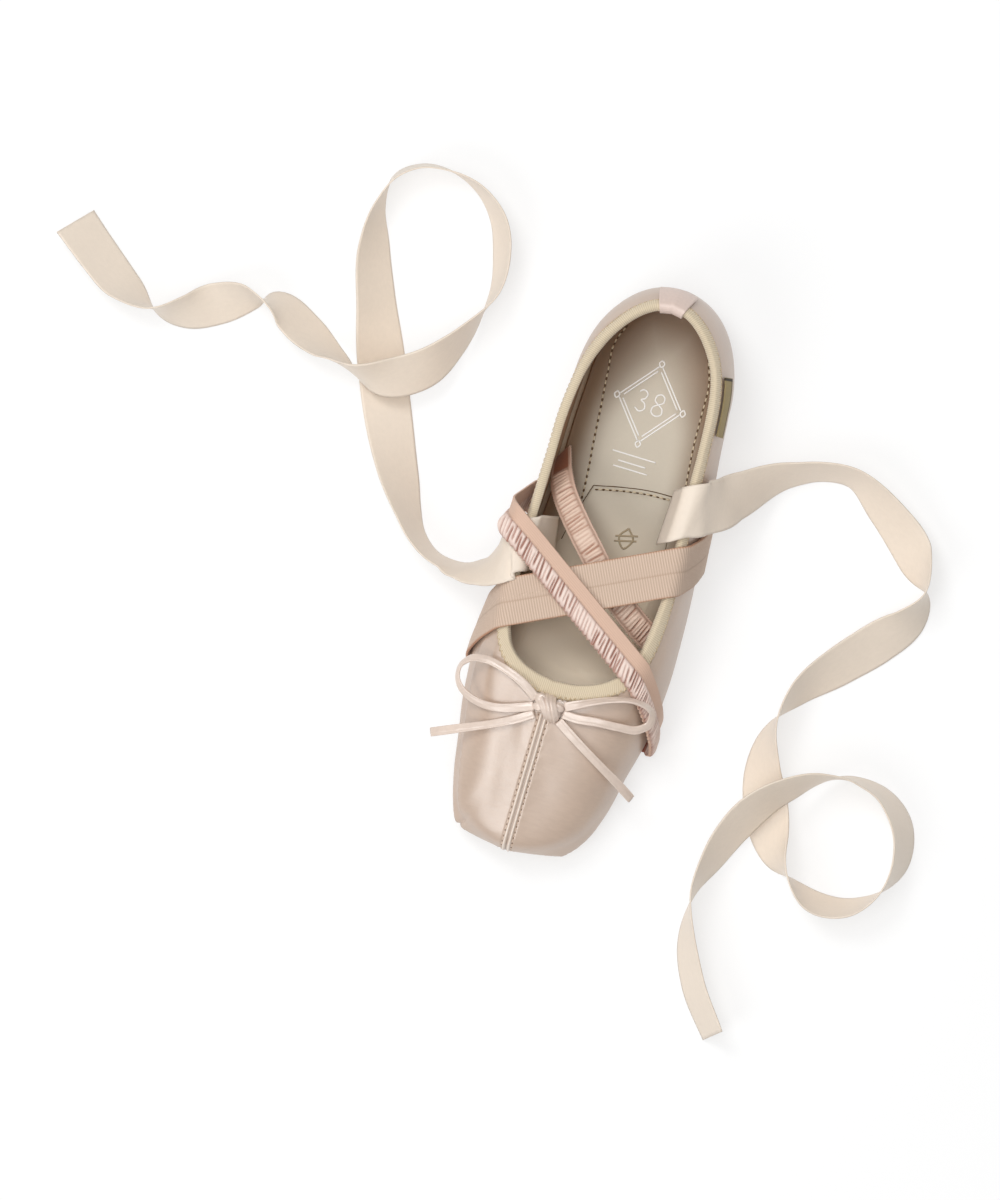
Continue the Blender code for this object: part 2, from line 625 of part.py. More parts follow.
def push_out(grid, pieces, clearance, passes=3):
    """Move a sheet's points along its own normals until its faces lie clear above some pieces."""
    trees = []
    for piece in pieces:
        bm = solid_mesh(piece)
        trees.append(BVHTree.FromBMesh(bm))
        bm.free()
    normals = np.cross(np.gradient(grid, axis=0), np.gradient(grid, axis=1))
    normals = normals / np.linalg.norm(normals, axis=2, keepdims=True)
    quads = [(i, j) for i in range(grid.shape[0] - 1) for j in range(grid.shape[1] - 1)]
    shares = [np.outer((1.0 - s, s), (1.0 - t, t)) for s in SAMPLES for t in SAMPLES]
    for (i, j), share, tree in ((q, s, t) for _ in range(passes) for q in quads
                                for s in shares for t in trees):
        corners = grid[i:i + 2, j:j + 2]
        point = Vector((corners * share[:, :, None]).sum(axis=(0, 1)))
        normal = Vector((normals[i:i + 2, j:j + 2] * share[:, :, None]).sum(axis=(0, 1)))
        normal.normalize()
        distance = tree.ray_cast((point + normal * PROBE) * MM, -normal, 2 * PROBE * MM)[3]
        lack = 0.0 if distance is None else PROBE - distance / MM + clearance
        if lack > 0.0:
            corners += np.array(normal) * lack * share[:, :, None] / (share ** 2).sum()


def convex_hull(points):
    """The corners of the convex hull of flat points, counter-clockwise."""
    ordered = sorted(map(tuple, points))

    def chain(sequence):
        kept = []
        for x, z in sequence:
            while len(kept) > 1:
                (ax, az), (bx, bz) = kept[-2:]
                if (bx - ax) * (z - az) - (bz - az) * (x - ax) > 0.0:
                    break
                kept.pop()
            kept.append((x, z))
        return kept[:-1]

    return np.array(chain(ordered) + chain(ordered[::-1]))


def taut_line(points, clearance):
    """An elastic pulled tight over flat points, from its low end on the left to that on the right."""
    turns = np.linspace(0.0, 2 * math.pi, 12, endpoint=False)
    ring = np.column_stack((np.cos(turns), np.sin(turns))) * clearance
    hull = convex_hull((points[:, None, :] + ring[None, :, :]).reshape(-1, 2))[::-1]
    middle = hull[:, 0].mean()
    left = min((i for i in range(len(hull)) if hull[i, 0] < middle), key=lambda i: hull[i, 1])
    hull = np.roll(hull, -left, axis=0)
    right = min((i for i in range(len(hull)) if hull[i, 0] > middle), key=lambda i: hull[i, 1])
    line = hull[:right + 1]
    steps = np.diff(line, axis=0)
    headings = np.unwrap(np.arctan2(steps[:, 1], steps[:, 0]))
    bends = np.abs(np.diff(headings, prepend=headings[0])) * STEPS_AT_BEND
    travelled = np.concatenate(((0.0,), np.cumsum(np.linalg.norm(steps, axis=1) + bends)))
    side = np.linspace(0.0, SIDE_SHARE, STEPS_AT_SIDE)
    places = np.concatenate((side, np.linspace(SIDE_SHARE, travelled[-1] - SIDE_SHARE, 5)[1:-1],
                             travelled[-1] - side[::-1]))
    return np.column_stack([np.interp(places, travelled, line[:, k]) for k in range(2)])


def make_strap(name, strap, pieces, columns=6):
    """An elastic strap pulled over the given pieces."""
    angle = math.radians(strap["angle"])
    direction = Vector((math.cos(angle), math.sin(angle), 0.0))
    across = Vector((-direction.y, direction.x, 0.0))
    middle = Vector((*strap["middle"], 0.0))
    grid = []
    for offset in np.linspace(-0.5, 0.5, columns) * strap["width"]:
        origin = middle + across * float(offset)
        flat = np.array([((p - origin).dot(direction), p.z) for p in cut_points(pieces, origin, across)])
        ground = sole_underside(origin.y + flat[:, 0] * direction.y) + SOLE_THICKNESS
        flat = flat[(flat[:, 1] > ground + strap["end_height"]) & (abs(flat[:, 0]) < STRAP_REACH)]
        for x, z in strap["props"]:
            flat = np.vstack((flat, ((x - origin.x) / direction.x, z)))
        line = taut_line(flat, STRAP_CLEARANCE)
        drop = np.clip(SIDE_TOP - line[:, 1], 0.0, None) * strap["drift"] * math.copysign(1.0, angle)
        y = origin.y + line[:, 0] * direction.y + drop * np.sign(line[:, 0])
        grid.append(np.column_stack((origin.x + line[:, 0] * direction.x, y, line[:, 1])))
    grid = np.ascontiguousarray(np.array(grid).transpose(1, 0, 2))
    push_out(grid, pieces, STRAP_GAP)
    obj = new_object(grid_mesh(grid), name)
    return thicken(obj, ELASTIC_THICKNESS, 1.0)


def ribbon_lines(rows, width, spacing):
    """Middle points and width vectors of a ribbon from its table of x, y, lift, roll and skew."""
    steps = np.linalg.norm(np.diff(rows[:, :3], axis=0), axis=1)
    travelled = np.concatenate(((0.0,), np.cumsum(steps)))
    table = np.column_stack((travelled, rows))
    places = np.linspace(0.0, travelled[-1], max(2, round(travelled[-1] / spacing)) + 1)
    values = np.array([smooth_rows(table, place) for place in places])
    roll = np.radians(values[:, 3])
    middle = np.column_stack((values[:, :2], values[:, 2] + width / 2 * np.abs(np.sin(roll))))
    along = np.gradient(middle, axis=0)
    along = along / np.linalg.norm(along, axis=1, keepdims=True)
    left = np.column_stack((-along[:, 1], along[:, 0], np.zeros(len(along))))
    left = left / np.linalg.norm(left, axis=1, keepdims=True)
    lean = left * np.cos(roll)[:, None] + np.array((0.0, 0.0, 1.0)) * np.sin(roll)[:, None]
    lean = lean - along * np.sum(lean * along, axis=1, keepdims=True)
    lean = lean / np.linalg.norm(lean, axis=1, keepdims=True)
    forward = np.column_stack((left[:, 1], -left[:, 0], np.zeros(len(left))))
    return middle, lean + forward * np.tan(np.radians(values[:, 4]))[:, None]


def make_ribbon(name, rows, width, thickness, spacing=8.0, columns=3):
    """A flat tape along the route of its table."""
    middle, lean = ribbon_lines(rows, width, spacing)
    shares = np.linspace(0.5, -0.5, columns) * width
    grid = middle[:, None, :] + lean[:, None, :] * shares[None, :, None]
    return thicken(new_object(grid_mesh(grid), name), thickness, 0.0)


def make_tube(name, points, radius, spacing=5.0):
    """A rouleau strand: a tube through a smooth curve over its own points."""
    points = np.array(points)
    steps = np.linalg.norm(np.diff(points, axis=0), axis=1)
    table = np.column_stack((np.concatenate(((0.0,), np.cumsum(steps))), points))
    places = np.linspace(0.0, table[-1, 0], round(table[-1, 0] / spacing) + 1)
    curve = bpy.data.curves.new(name, "CURVE")
    curve.dimensions = "3D"
    curve.bevel_depth = radius * MM
    curve.bevel_resolution = 2
    curve.use_fill_caps = True
    spline = curve.splines.new("POLY")
    spline.points.add(len(places) - 1)
    for point, place_on in zip(spline.points, places):
        point.co = (*(smooth_rows(table, place_on) * MM), 1.0)
    obj = bpy.data.objects.new(name, curve)
    bpy.context.scene.collection.objects.link(obj)
    return obj


def make_knot():
    """The knot of the bow, a plump pillow."""
    bm = bmesh.new()
    bmesh.ops.create_uvsphere(bm, u_segments=12, v_segments=8, radius=0.5)
    bmesh.ops.scale(bm, vec=Vector(KNOT["size"]) * MM, verts=bm.verts[:])
    bmesh.ops.translate(bm, vec=Vector(KNOT["place"]) * MM, verts=bm.verts[:])
    return new_object(bm, "bow_knot")


def main():
    """Build every piece of the shoe."""
    for obj in list(bpy.data.objects):
        bpy.data.objects.remove(obj)
    shoe = bpy.data.collections.new("ballet_flat")
    bpy.context.scene.collection.children.link(shoe)
    for name in MATERIALS:
        make_material(name)
    origin = bpy.data.objects.new("shoe_origin", None)
    origin.location = (-SHOE_CENTRE_X * MM, -SHOE_CENTRE_Y * MM, 0.0)
    shoe.objects.link(origin)

    places = loop_places()
    half_runs = [run for side, run in places if side == MEDIAL] + [1.0]
    outsole, heel, insole = make_sole(half_runs)
    place(outsole, "outsole", "sole_rubber", origin)
    place(heel, "heel", "heel_stack", origin)
    place(insole, "insole", "sock_leather", origin)
    upper = place(make_upper(places), "upper", "satin", origin)
    binding = place(make_binding(places), "topline_binding", "knit_binding", origin)
    place(make_tab(places), "heel_tab", "grosgrain", origin)

    for name, rows in (("ribbon_medial", RIBBON_MEDIAL), ("ribbon_lateral", RIBBON_LATERAL)):
        ribbon = make_ribbon(name, rows, RIBBON_WIDTH, RIBBON_THICKNESS)
        place(ribbon, name, "ribbon_satin", origin)
    grosgrain = make_strap("strap_grosgrain", GROSGRAIN, [upper, binding])
    under_ruched = [upper, binding, grosgrain, bpy.data.objects["ribbon_medial"]]
    ruched = make_strap("strap_ruched", RUCHED, under_ruched)
    place(grosgrain, "strap_grosgrain", "grosgrain", origin)
    place(ruched, "strap_ruched", "peach_elastic", origin)
    pleated = make_ribbon("strap_pleated", PLEATED, PLEATED_WIDTH, ELASTIC_THICKNESS)
    place(pleated, "strap_pleated", "peach_elastic", origin)
    place(make_knot(), "bow_knot", "satin", origin)
    for name, points in BOW.items():
        place(make_tube(name, points, ROULEAU_RADIUS), name, "satin", origin)


main()
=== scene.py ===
"""The looks of a left ballet flat: satin upper, knitted binding, crossed elastics, bow and ribbons.

Every shape is drawn in millimetres in the shoe's own drawing frame (heel towards +Y, outer side
of the foot at +X, Z up) and is moved to the row frame when its mesh is made.
"""

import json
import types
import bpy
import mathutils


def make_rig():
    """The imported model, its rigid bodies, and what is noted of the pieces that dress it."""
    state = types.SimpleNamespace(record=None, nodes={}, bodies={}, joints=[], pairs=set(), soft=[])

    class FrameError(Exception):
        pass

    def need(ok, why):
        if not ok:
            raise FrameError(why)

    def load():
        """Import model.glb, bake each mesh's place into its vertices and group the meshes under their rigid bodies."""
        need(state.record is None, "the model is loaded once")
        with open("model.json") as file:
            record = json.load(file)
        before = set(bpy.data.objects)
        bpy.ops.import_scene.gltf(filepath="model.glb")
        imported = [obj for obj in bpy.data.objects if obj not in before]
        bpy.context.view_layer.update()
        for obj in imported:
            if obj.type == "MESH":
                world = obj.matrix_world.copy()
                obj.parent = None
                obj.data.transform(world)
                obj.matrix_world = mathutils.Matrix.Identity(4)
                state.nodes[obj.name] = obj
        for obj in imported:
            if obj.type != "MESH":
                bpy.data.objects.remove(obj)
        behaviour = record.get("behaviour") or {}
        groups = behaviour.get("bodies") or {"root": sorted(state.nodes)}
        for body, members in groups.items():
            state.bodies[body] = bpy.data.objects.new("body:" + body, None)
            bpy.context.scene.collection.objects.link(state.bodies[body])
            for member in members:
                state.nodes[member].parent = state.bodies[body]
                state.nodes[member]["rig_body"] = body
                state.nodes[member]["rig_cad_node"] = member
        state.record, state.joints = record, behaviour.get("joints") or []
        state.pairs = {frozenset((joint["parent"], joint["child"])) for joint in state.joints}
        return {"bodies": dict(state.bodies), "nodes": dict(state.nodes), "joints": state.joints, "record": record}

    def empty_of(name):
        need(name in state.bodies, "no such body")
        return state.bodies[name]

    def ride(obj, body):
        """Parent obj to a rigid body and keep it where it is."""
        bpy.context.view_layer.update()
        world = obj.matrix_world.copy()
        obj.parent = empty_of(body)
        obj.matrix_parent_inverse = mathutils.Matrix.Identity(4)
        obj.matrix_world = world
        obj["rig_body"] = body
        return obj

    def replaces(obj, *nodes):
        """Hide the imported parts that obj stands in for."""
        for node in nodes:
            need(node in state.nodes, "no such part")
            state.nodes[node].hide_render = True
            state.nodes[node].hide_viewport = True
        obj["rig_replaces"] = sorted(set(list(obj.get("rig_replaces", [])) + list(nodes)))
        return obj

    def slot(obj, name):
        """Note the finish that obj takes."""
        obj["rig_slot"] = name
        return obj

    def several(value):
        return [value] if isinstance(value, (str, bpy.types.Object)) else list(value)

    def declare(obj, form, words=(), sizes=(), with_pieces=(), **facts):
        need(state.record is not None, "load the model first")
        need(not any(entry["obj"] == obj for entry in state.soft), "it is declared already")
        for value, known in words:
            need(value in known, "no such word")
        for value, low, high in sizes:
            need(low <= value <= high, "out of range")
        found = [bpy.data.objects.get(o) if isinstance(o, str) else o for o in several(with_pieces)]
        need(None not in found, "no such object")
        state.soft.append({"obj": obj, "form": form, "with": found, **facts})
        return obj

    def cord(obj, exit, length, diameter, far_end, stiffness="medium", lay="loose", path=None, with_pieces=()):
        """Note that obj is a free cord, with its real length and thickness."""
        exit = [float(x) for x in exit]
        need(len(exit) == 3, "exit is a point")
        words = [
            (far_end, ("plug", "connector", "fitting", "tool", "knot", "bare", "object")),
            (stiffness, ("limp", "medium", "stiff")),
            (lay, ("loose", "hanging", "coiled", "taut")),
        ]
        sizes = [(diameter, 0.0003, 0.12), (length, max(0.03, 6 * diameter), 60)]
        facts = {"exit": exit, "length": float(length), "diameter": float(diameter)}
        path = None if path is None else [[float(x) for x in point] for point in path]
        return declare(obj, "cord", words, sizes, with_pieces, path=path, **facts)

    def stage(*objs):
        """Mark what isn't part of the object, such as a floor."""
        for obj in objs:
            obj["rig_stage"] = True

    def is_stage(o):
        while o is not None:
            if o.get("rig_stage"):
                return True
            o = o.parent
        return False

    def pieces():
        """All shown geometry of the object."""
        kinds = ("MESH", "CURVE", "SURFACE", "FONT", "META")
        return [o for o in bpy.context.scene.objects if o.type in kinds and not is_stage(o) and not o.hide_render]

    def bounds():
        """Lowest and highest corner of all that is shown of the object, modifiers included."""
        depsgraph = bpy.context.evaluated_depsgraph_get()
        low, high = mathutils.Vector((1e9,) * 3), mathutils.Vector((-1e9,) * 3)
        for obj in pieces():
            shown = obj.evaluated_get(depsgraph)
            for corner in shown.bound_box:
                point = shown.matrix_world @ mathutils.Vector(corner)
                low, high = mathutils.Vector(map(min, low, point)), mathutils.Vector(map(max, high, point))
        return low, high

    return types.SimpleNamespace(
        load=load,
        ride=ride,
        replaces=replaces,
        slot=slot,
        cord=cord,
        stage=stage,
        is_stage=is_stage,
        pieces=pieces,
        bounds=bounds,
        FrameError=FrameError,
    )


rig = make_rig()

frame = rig.load()

import json
import math

import bpy
import numpy as np
from bpy.props import FloatProperty, FloatVectorProperty, IntProperty, PointerProperty
from bpy.types import Operator, Panel, PropertyGroup
from mathutils import Matrix, Vector
from mathutils.bvhtree import BVHTree

bl_info = {
    "name": "Ballet flat",
    "version": (1, 0, 0),
    "blender": (4, 5, 0),
    "location": "3D View > Sidebar > Shoe",
    "description": "Satin, knit, elastic and ribbon surfaces of a ballet flat",
    "category": "Add Mesh",
}

CAD_BOX = [list(corner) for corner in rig.bounds()]
MM = 0.001
MEDIAL, LATERAL = -1, 1
UP = np.array((0.0, 0.0, 1.0))
DRAWING_ZERO = np.array((3.0, 0.2, 0.0))      # the row frame's origin in the drawing

# ---------------------------------------------------------------- the last: sizes and tables

WALL = 2.0
GAP = 0.3
SOLE_THICKNESS = 3.0
HEEL_LIFT = 8.0
TOE_SPRING = 5.0
SPRING_START_Y = -82.0
SPRING_LENGTH = 41.0
ARCH_START_Y = -20.0
HEEL_SEAT_Y = 62.0
INSOLE_THICKNESS = 2.2
INSOLE_CLEARANCE = 0.8
HEEL_RUN = 0.25
CORNER_RUN = 0.87
HEEL_ARC_Y = 78.0
HEEL_ARC_DEPTH = 44.5
CORNER_Y = -119.5
TOE_BOW = 3.3
OUTLINE = np.array([
    # y,      medial x, lateral x
    (78.0,    -30.4,    36.5),
    (60.0,    -31.0,    38.0),
    (40.0,    -31.1,    40.3),
    (20.0,    -31.9,    42.2),
    (0.0,     -33.8,    43.7),
    (-20.0,   -36.8,    44.8),
    (-40.0,   -38.5,    44.8),
    (-60.0,   -37.5,    43.3),
    (-80.0,   -34.5,    39.0),
    (-100.0,  -30.8,    34.7),
    (-110.0,  -28.0,    30.8),
    (-116.0,  -25.6,    26.8),
    (-119.5,  -23.7,    23.3),
])
TOPLINE = np.array([
    # run,  medial x, y,   lateral x, y,    z
    (0.00,    3.2,  113.8,    3.2,  113.8, 57.0),
    (0.06,   -5.0,  111.5,   11.0,  112.0, 56.6),
    (0.125,  -13.6,  104.2,   20.1,  104.8, 55.3),
    (0.19,  -21.6,   92.2,   27.6,   92.8, 53.6),
    (0.25,  -26.7,   77.8,   31.2,   77.8, 51.5),
    (0.306,  -29.2,   60.0,   32.3,   60.0, 49.3),
    (0.369,  -29.3,   40.0,   33.0,   40.0, 47.4),
    (0.432,  -29.3,   20.0,   34.3,   20.0, 46.0),
    (0.495,  -29.0,    1.0,   35.4,    0.0, 45.0),
    (0.558,  -28.2,  -16.0,   34.4,  -18.0, 44.5),
    (0.62,  -26.3,  -29.5,   31.8,  -31.0, 44.0),
    (0.68,  -23.3,  -38.3,   27.5,  -39.3, 43.6),
    (0.74,  -19.6,  -43.3,   22.8,  -43.8, 43.2),
    (0.80,  -15.5,  -46.4,   17.8,  -46.8, 42.8),
    (0.87,  -10.3,  -48.8,   11.0,  -49.2, 42.2),
    (1.00,    0.0,  -50.7,    0.0,  -50.7, 41.6),
])
TOPLINES = {MEDIAL: TOPLINE[:, (0, 1, 2, 5)], LATERAL: TOPLINE[:, (0, 3, 4, 5)]}
WALL_SHAPE = np.array([
    # run,  bulge, tuck, radius, cap
    (0.00,  12.0,  3.6,  15.0,  45.0),
    (0.25,  11.0,  3.4,  15.0,  45.0),
    (0.45,   8.5,  3.2,  16.0,  40.0),
    (0.62,   7.0,  3.0,  16.0,  34.0),
    (0.70,   6.5,  2.6,  15.0,  31.0),
    (0.76,   6.0,  2.2,  13.0,  28.5),
    (0.82,   5.5,  1.8,  10.0,  25.8),
    (0.87,   5.0,  1.5,   7.0,  23.8),
    (0.90,   5.0,  1.5,   5.6,  23.3),
    (1.00,   5.0,  1.5,   5.6,  23.0),
])
QUARTER_ROUNDNESS = 0.45
PLAN_POWER, PLAN_BEND = 1.6, 0.35       # spacing and fullness of a line's way to the edge
VAMP_RUN = (0.55, 0.70)     # the quarter goes over into the vamp
BOX_RUN = (0.6, 0.68)       # the box's inner side starts
BOX_END = (0.89, 0.84)      # and ends, at the toe
EDGE_POWER = 2.3            # how square the edge between wall and vamp is
BOX_EDGE = 0.75             # how much straighter the inner side of the box rises
FACED_RUN = 0.7             # from here on, lines start in the smoothed inward direction
FOOT_ANGLE = math.radians(15.0)


def between(values, slopes, i, t, span):
    """Smooth curve from value i to the next at the share t of the span, keeping both slopes."""
    from_a = (2 * t ** 3 - 3 * t ** 2 + 1) * values[i] + (t ** 3 - 2 * t ** 2 + t) * span * slopes[i]
    from_b = (3 * t ** 2 - 2 * t ** 3) * values[i + 1] + (t ** 3 - t ** 2) * span * slopes[i + 1]
    return from_a + from_b


def smooth_rows(rows, at):
    """Every other column of a table at one value of its first column, smooth between its rows."""
    keys = rows[:, 0]
    if keys[0] > keys[-1]:
        keys, at = -keys, -at
    i = int(np.clip(np.searchsorted(keys, at) - 1, 0, len(keys) - 2))
    span = keys[i + 1] - keys[i]
    t = float(np.clip((at - keys[i]) / span, 0.0, 1.0))
    return between(rows[:, 1:], np.gradient(rows[:, 1:], keys, axis=0), i, t, span)


def smoothstep(low, high, value):
    """0 below low, 1 above high, and an even curve between them."""
    t = np.clip((value - low) / (high - low), 0.0, 1.0)
    return t * t * (3.0 - 2.0 * t)


def hump(value, middle, width):
    """A soft bump of height 1 around middle."""
    return np.exp(-(((value - middle) / width) ** 2))


def unit(vectors):
    """Vectors made 1 long."""
    return vectors / np.maximum(np.linalg.norm(vectors, axis=-1, keepdims=True), 1e-9)


def interpolate(at, keys, rows):
    """Every column of some rows at the given keys, straight between the rows."""
    return np.column_stack([np.interp(at, keys, column) for column in rows.T])


def lengths(line):
    """Distance travelled along a polyline at each of its points."""
    return np.concatenate(((0.0,), np.cumsum(np.linalg.norm(np.diff(line, axis=0), axis=1))))


def along_line(line, distances):
    """Points of a polyline at given distances from its start."""
    return interpolate(distances, lengths(line), line)


def sole_underside(y):
    """Height of the underside of the sole."""
    spring = np.maximum(0.0, (SPRING_START_Y - y) / SPRING_LENGTH)
    return TOE_SPRING * spring ** 2 + HEEL_LIFT * smoothstep(ARCH_START_Y, HEEL_SEAT_Y, y)


def sole_top(y):
    """Height of the upper face of the sole."""
    return sole_underside(y) + SOLE_THICKNESS


def outline(side, run):
    """The widest line of the upper, in plan."""
    if run < 0.0:
        return outline(-side, -run)
    if run > 1.0:
        return outline(-side, 2.0 - run)
    if run < HEEL_RUN:
        angle = math.pi / 2 * run / HEEL_RUN
        half_width = (OUTLINE[0, 2] - OUTLINE[0, 1]) / 2
        middle = (OUTLINE[0, 2] + OUTLINE[0, 1]) / 2
        x = middle + side * half_width * math.sin(angle)
        return np.array((x, HEEL_ARC_Y + HEEL_ARC_DEPTH * math.cos(angle)))
    if run < CORNER_RUN:
        y = HEEL_ARC_Y + (CORNER_Y - HEEL_ARC_Y) * (run - HEEL_RUN) / (CORNER_RUN - HEEL_RUN)
        return np.array((smooth_rows(OUTLINE, y)[0 if side == MEDIAL else 1], y))
    corners = OUTLINE[-1, 1:]
    corner = corners[0] if side == MEDIAL else corners[1]
    middle = corners.mean()
    x = corner + (middle - corner) * (run - CORNER_RUN) / (1.0 - CORNER_RUN)
    return np.array((x, CORNER_Y - TOE_BOW * (1.0 - ((x - middle) / (corner - middle)) ** 2)))


def inward(side, run, reach=0.007):
    """Unit vector in plan from the outline towards the inside of the shoe."""
    along = outline(side, run + reach) - outline(side, run - reach)
    return unit(np.array((-along[1], along[0])) * -side)


def facing(side, run, window=0.06, count=9):
    """Smoothed inward direction, so that lines from near the toe's corners do not cross."""
    return unit(sum(inward(side, run + step) for step in np.linspace(-window, window, count)))


def round_rise(share, power):
    """Height of a rounded edge, from 0 at its foot to 1 where it meets the flat top."""
    share = np.clip(share, 0.0, 1.0)
    return (1.0 - (1.0 - share) ** power) ** (1.0 / power)


def foot_inset(run):
    """How far inside the outline the upper meets the sole."""
    return smooth_rows(WALL_SHAPE, run)[1] * (1.0 - math.sin(FOOT_ANGLE))


def meridian(side, run, count=90):
    """The outer face of the upper along one line from the sole up to the edge of the opening."""
    if run < 0.0:
        side, run = -side, -run
    start = outline(side, run)
    normal = inward(side, run)
    top = smooth_rows(TOPLINES[side], run)
    bulge, tuck, radius, cap = smooth_rows(WALL_SHAPE, run)
    foot_z = sole_top(start[1]) + GAP

    turn = np.linspace(FOOT_ANGLE, math.pi / 2, count // 4)
    inset = tuck * (1.0 - np.sin(turn))
    under = np.column_stack((start[None, :] + normal[None, :] * inset[:, None],
                             foot_z + bulge * (1.0 - np.cos(turn))))

    share = np.linspace(0.0, 1.0, count)[1:] ** PLAN_POWER
    distance = np.linalg.norm(top[:2] - start)
    toward = facing(side, run) if run > FACED_RUN else normal
    control = start + toward * distance * PLAN_BEND
    plan = ((1 - share) ** 2)[:, None] * start + (2 * share * (1 - share))[:, None] * control
    plan = plan + (share ** 2)[:, None] * top[:2]
    travelled = lengths(np.vstack((start, plan)))[1:]
    base_z = foot_z + bulge
    quarter = round_rise(share * QUARTER_ROUNDNESS, 2.0) / round_rise(QUARTER_ROUNDNESS, 2.0)
    quarter_z = base_z + (top[2] - base_z) * quarter
    vamp_top = cap + (top[2] - cap) * share
    boxed = smoothstep(*BOX_RUN, run) * smoothstep(*BOX_END, run) * (side == MEDIAL)
    power = EDGE_POWER - BOX_EDGE * boxed
    vamp_z = base_z + (vamp_top - base_z) * round_rise(travelled / radius, power)
    vamp = smoothstep(*VAMP_RUN, run)
    height = quarter_z * (1.0 - vamp) + vamp_z * vamp
    return np.vstack((under, np.column_stack((plan, height))))


def across_columns(grid, closed):
    """Directions from column to column of points[column, row]; if closed, columns go round."""
    if closed:
        return np.roll(grid, -1, axis=0) - np.roll(grid, 1, axis=0)
    return np.gradient(grid, axis=0)


def surface_normals(grid, closed=True):
    """Unit normals of points[column, row], with rows going up."""
    return unit(np.cross(across_columns(grid, closed), np.gradient(grid, axis=1)))


# ---------------------------------------------------------------- meshes

class Surface:
    """Patches of points that become one mesh, with named marks on its points for its finish."""

    def __init__(self, *marks):
        self.points, self.faces, self.slots = [], [], []
        self.marks = {name: [] for name in marks}
        self.count = 0

    def patch(self, grid, endless=False, slot=0, **marks):
        """Add a tube of points[column, row]: rows go round, columns too if endless, else capped."""
        columns, rows = grid.shape[:2]
        number = np.arange(columns * rows).reshape(columns, rows)
        across = np.vstack((number, number[:1])) if endless else number
        quads = quad_corners(np.hstack((across, across[:, :1])))
        faces = [list(quad) for quad in quads]
        if not endless:
            faces += [list(number[0]), list(number[-1][::-1])]
            flat = grid.reshape(-1, 3)
            corners = flat[quads] - flat.mean(axis=0)
            turned = np.einsum("ij,ij->i", corners[:, 0], np.cross(corners[:, 1], corners[:, 2]))
            if turned.sum() < 0.0:
                faces = [face[::-1] for face in faces]
        self.faces += [[int(k) + self.count for k in face] for face in faces]
        self.slots.append(np.resize(slot, len(faces)))
        self.points.append(grid.reshape(-1, 3))
        for name, values in self.marks.items():
            values.append(np.broadcast_to(marks.get(name, 0.0), (columns, rows)).reshape(-1))
        self.count += columns * rows

    def build(self, name, *finishes, slot, replaces=None):
        """Make the object in the row frame, with its finishes, and let it ride on the shoe."""
        mesh = bpy.data.meshes.new(name)
        points = (np.vstack(self.points) - DRAWING_ZERO) * MM
        mesh.from_pydata(points.tolist(), [], self.faces)
        mesh.polygons.foreach_set("material_index", np.concatenate(self.slots))
        for mark, values in self.marks.items():
            layer = mesh.attributes.new(mark, "FLOAT", "POINT")
            layer.data.foreach_set("value", np.concatenate(values).astype(np.float32))
        mesh.update()
        mesh.shade_smooth()
        obj = bpy.data.objects.new(name, mesh)
        bpy.context.scene.collection.objects.link(obj)
        for finish in finishes:
            mesh.materials.append(finish)
        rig.ride(obj, "root")
        if replaces:
            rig.replaces(obj, replaces)
        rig.slot(obj, slot)
        return obj


def quad_corners(number):
    """The four corners of every face of a sheet of numbered points[column, row]."""
    corners = (number[:-1, :-1], number[1:, :-1], number[1:, 1:], number[:-1, 1:])
    return np.stack(corners, axis=-1).reshape(-1, 4)


def strip_ring(middle, normals, thickness, relief=0.0, under=None):
    """Cross-section loops of a strap: its upper face, then its lower face the other way."""
    relief = np.broadcast_to(relief, middle.shape[:2])
    under = relief * 0.0 if under is None else under
    top = middle + normals * (thickness / 2 + relief)[:, :, None]
    bottom = middle - normals * (thickness / 2 - under)[:, :, None]
    return np.concatenate((top, bottom[:, ::-1]), axis=1)


def both_faces(values):
    """A strap's marks for its upper and lower face together."""
    return np.concatenate((values, values[:, ::-1]), axis=1)


def refine(grid, columns, rows):
    """The same sheet with more points, smooth along its first direction."""
    def resample(values, count):
        travelled = lengths(values.reshape(len(values), -1))
        places = np.linspace(0.0, travelled[-1], count)
        i = np.clip(np.searchsorted(travelled, places) - 1, 0, len(values) - 2)
        span = (travelled[i + 1] - travelled[i])[:, None, None]
        t = (places - travelled[i])[:, None, None] / span
        return between(values, np.gradient(values, travelled, axis=0), i, t, span)

    fine = resample(grid, columns)
    return resample(fine.transpose(1, 0, 2), rows).transpose(1, 0, 2)


def directions(line):
    """Unit vectors along a line."""
    return unit(np.gradient(line, axis=0))


def square_to(along, vectors):
    """The unit parts of some vectors that stand at right angles to the directions along a line."""
    return unit(vectors - along * np.sum(vectors * along, axis=1, keepdims=True))


def tube_grid(line, ups, half_width, half_height, sides=10, taper=None):
    """Points round a line: an oval of the given half sizes, its flat side facing up."""
    along = directions(line)
    ups = square_to(along, ups)
    beside = np.cross(along, ups)
    turns = np.linspace(0.0, 2 * math.pi, sides, endpoint=False)
    width = np.cos(turns)[None, :] * half_width
    height = np.sin(turns)[None, :] * half_height
    if taper is not None:
        width, height = width * taper[:, None], height * taper[:, None]
    return line[:, None, :] + beside[:, None, :] * width[..., None] + ups[:, None, :] * height[..., None]


def smooth_line(points, spacing):
    """A smooth curve through given rows of x, y, z and more, a row every spacing millimetres."""
    rows = np.array(points, float)
    table = np.column_stack((lengths(rows[:, :3]), rows))
    count = max(2, round(table[-1, 0] / spacing))
    return np.array([smooth_rows(table, at) for at in np.linspace(0.0, table[-1, 0], count + 1)])


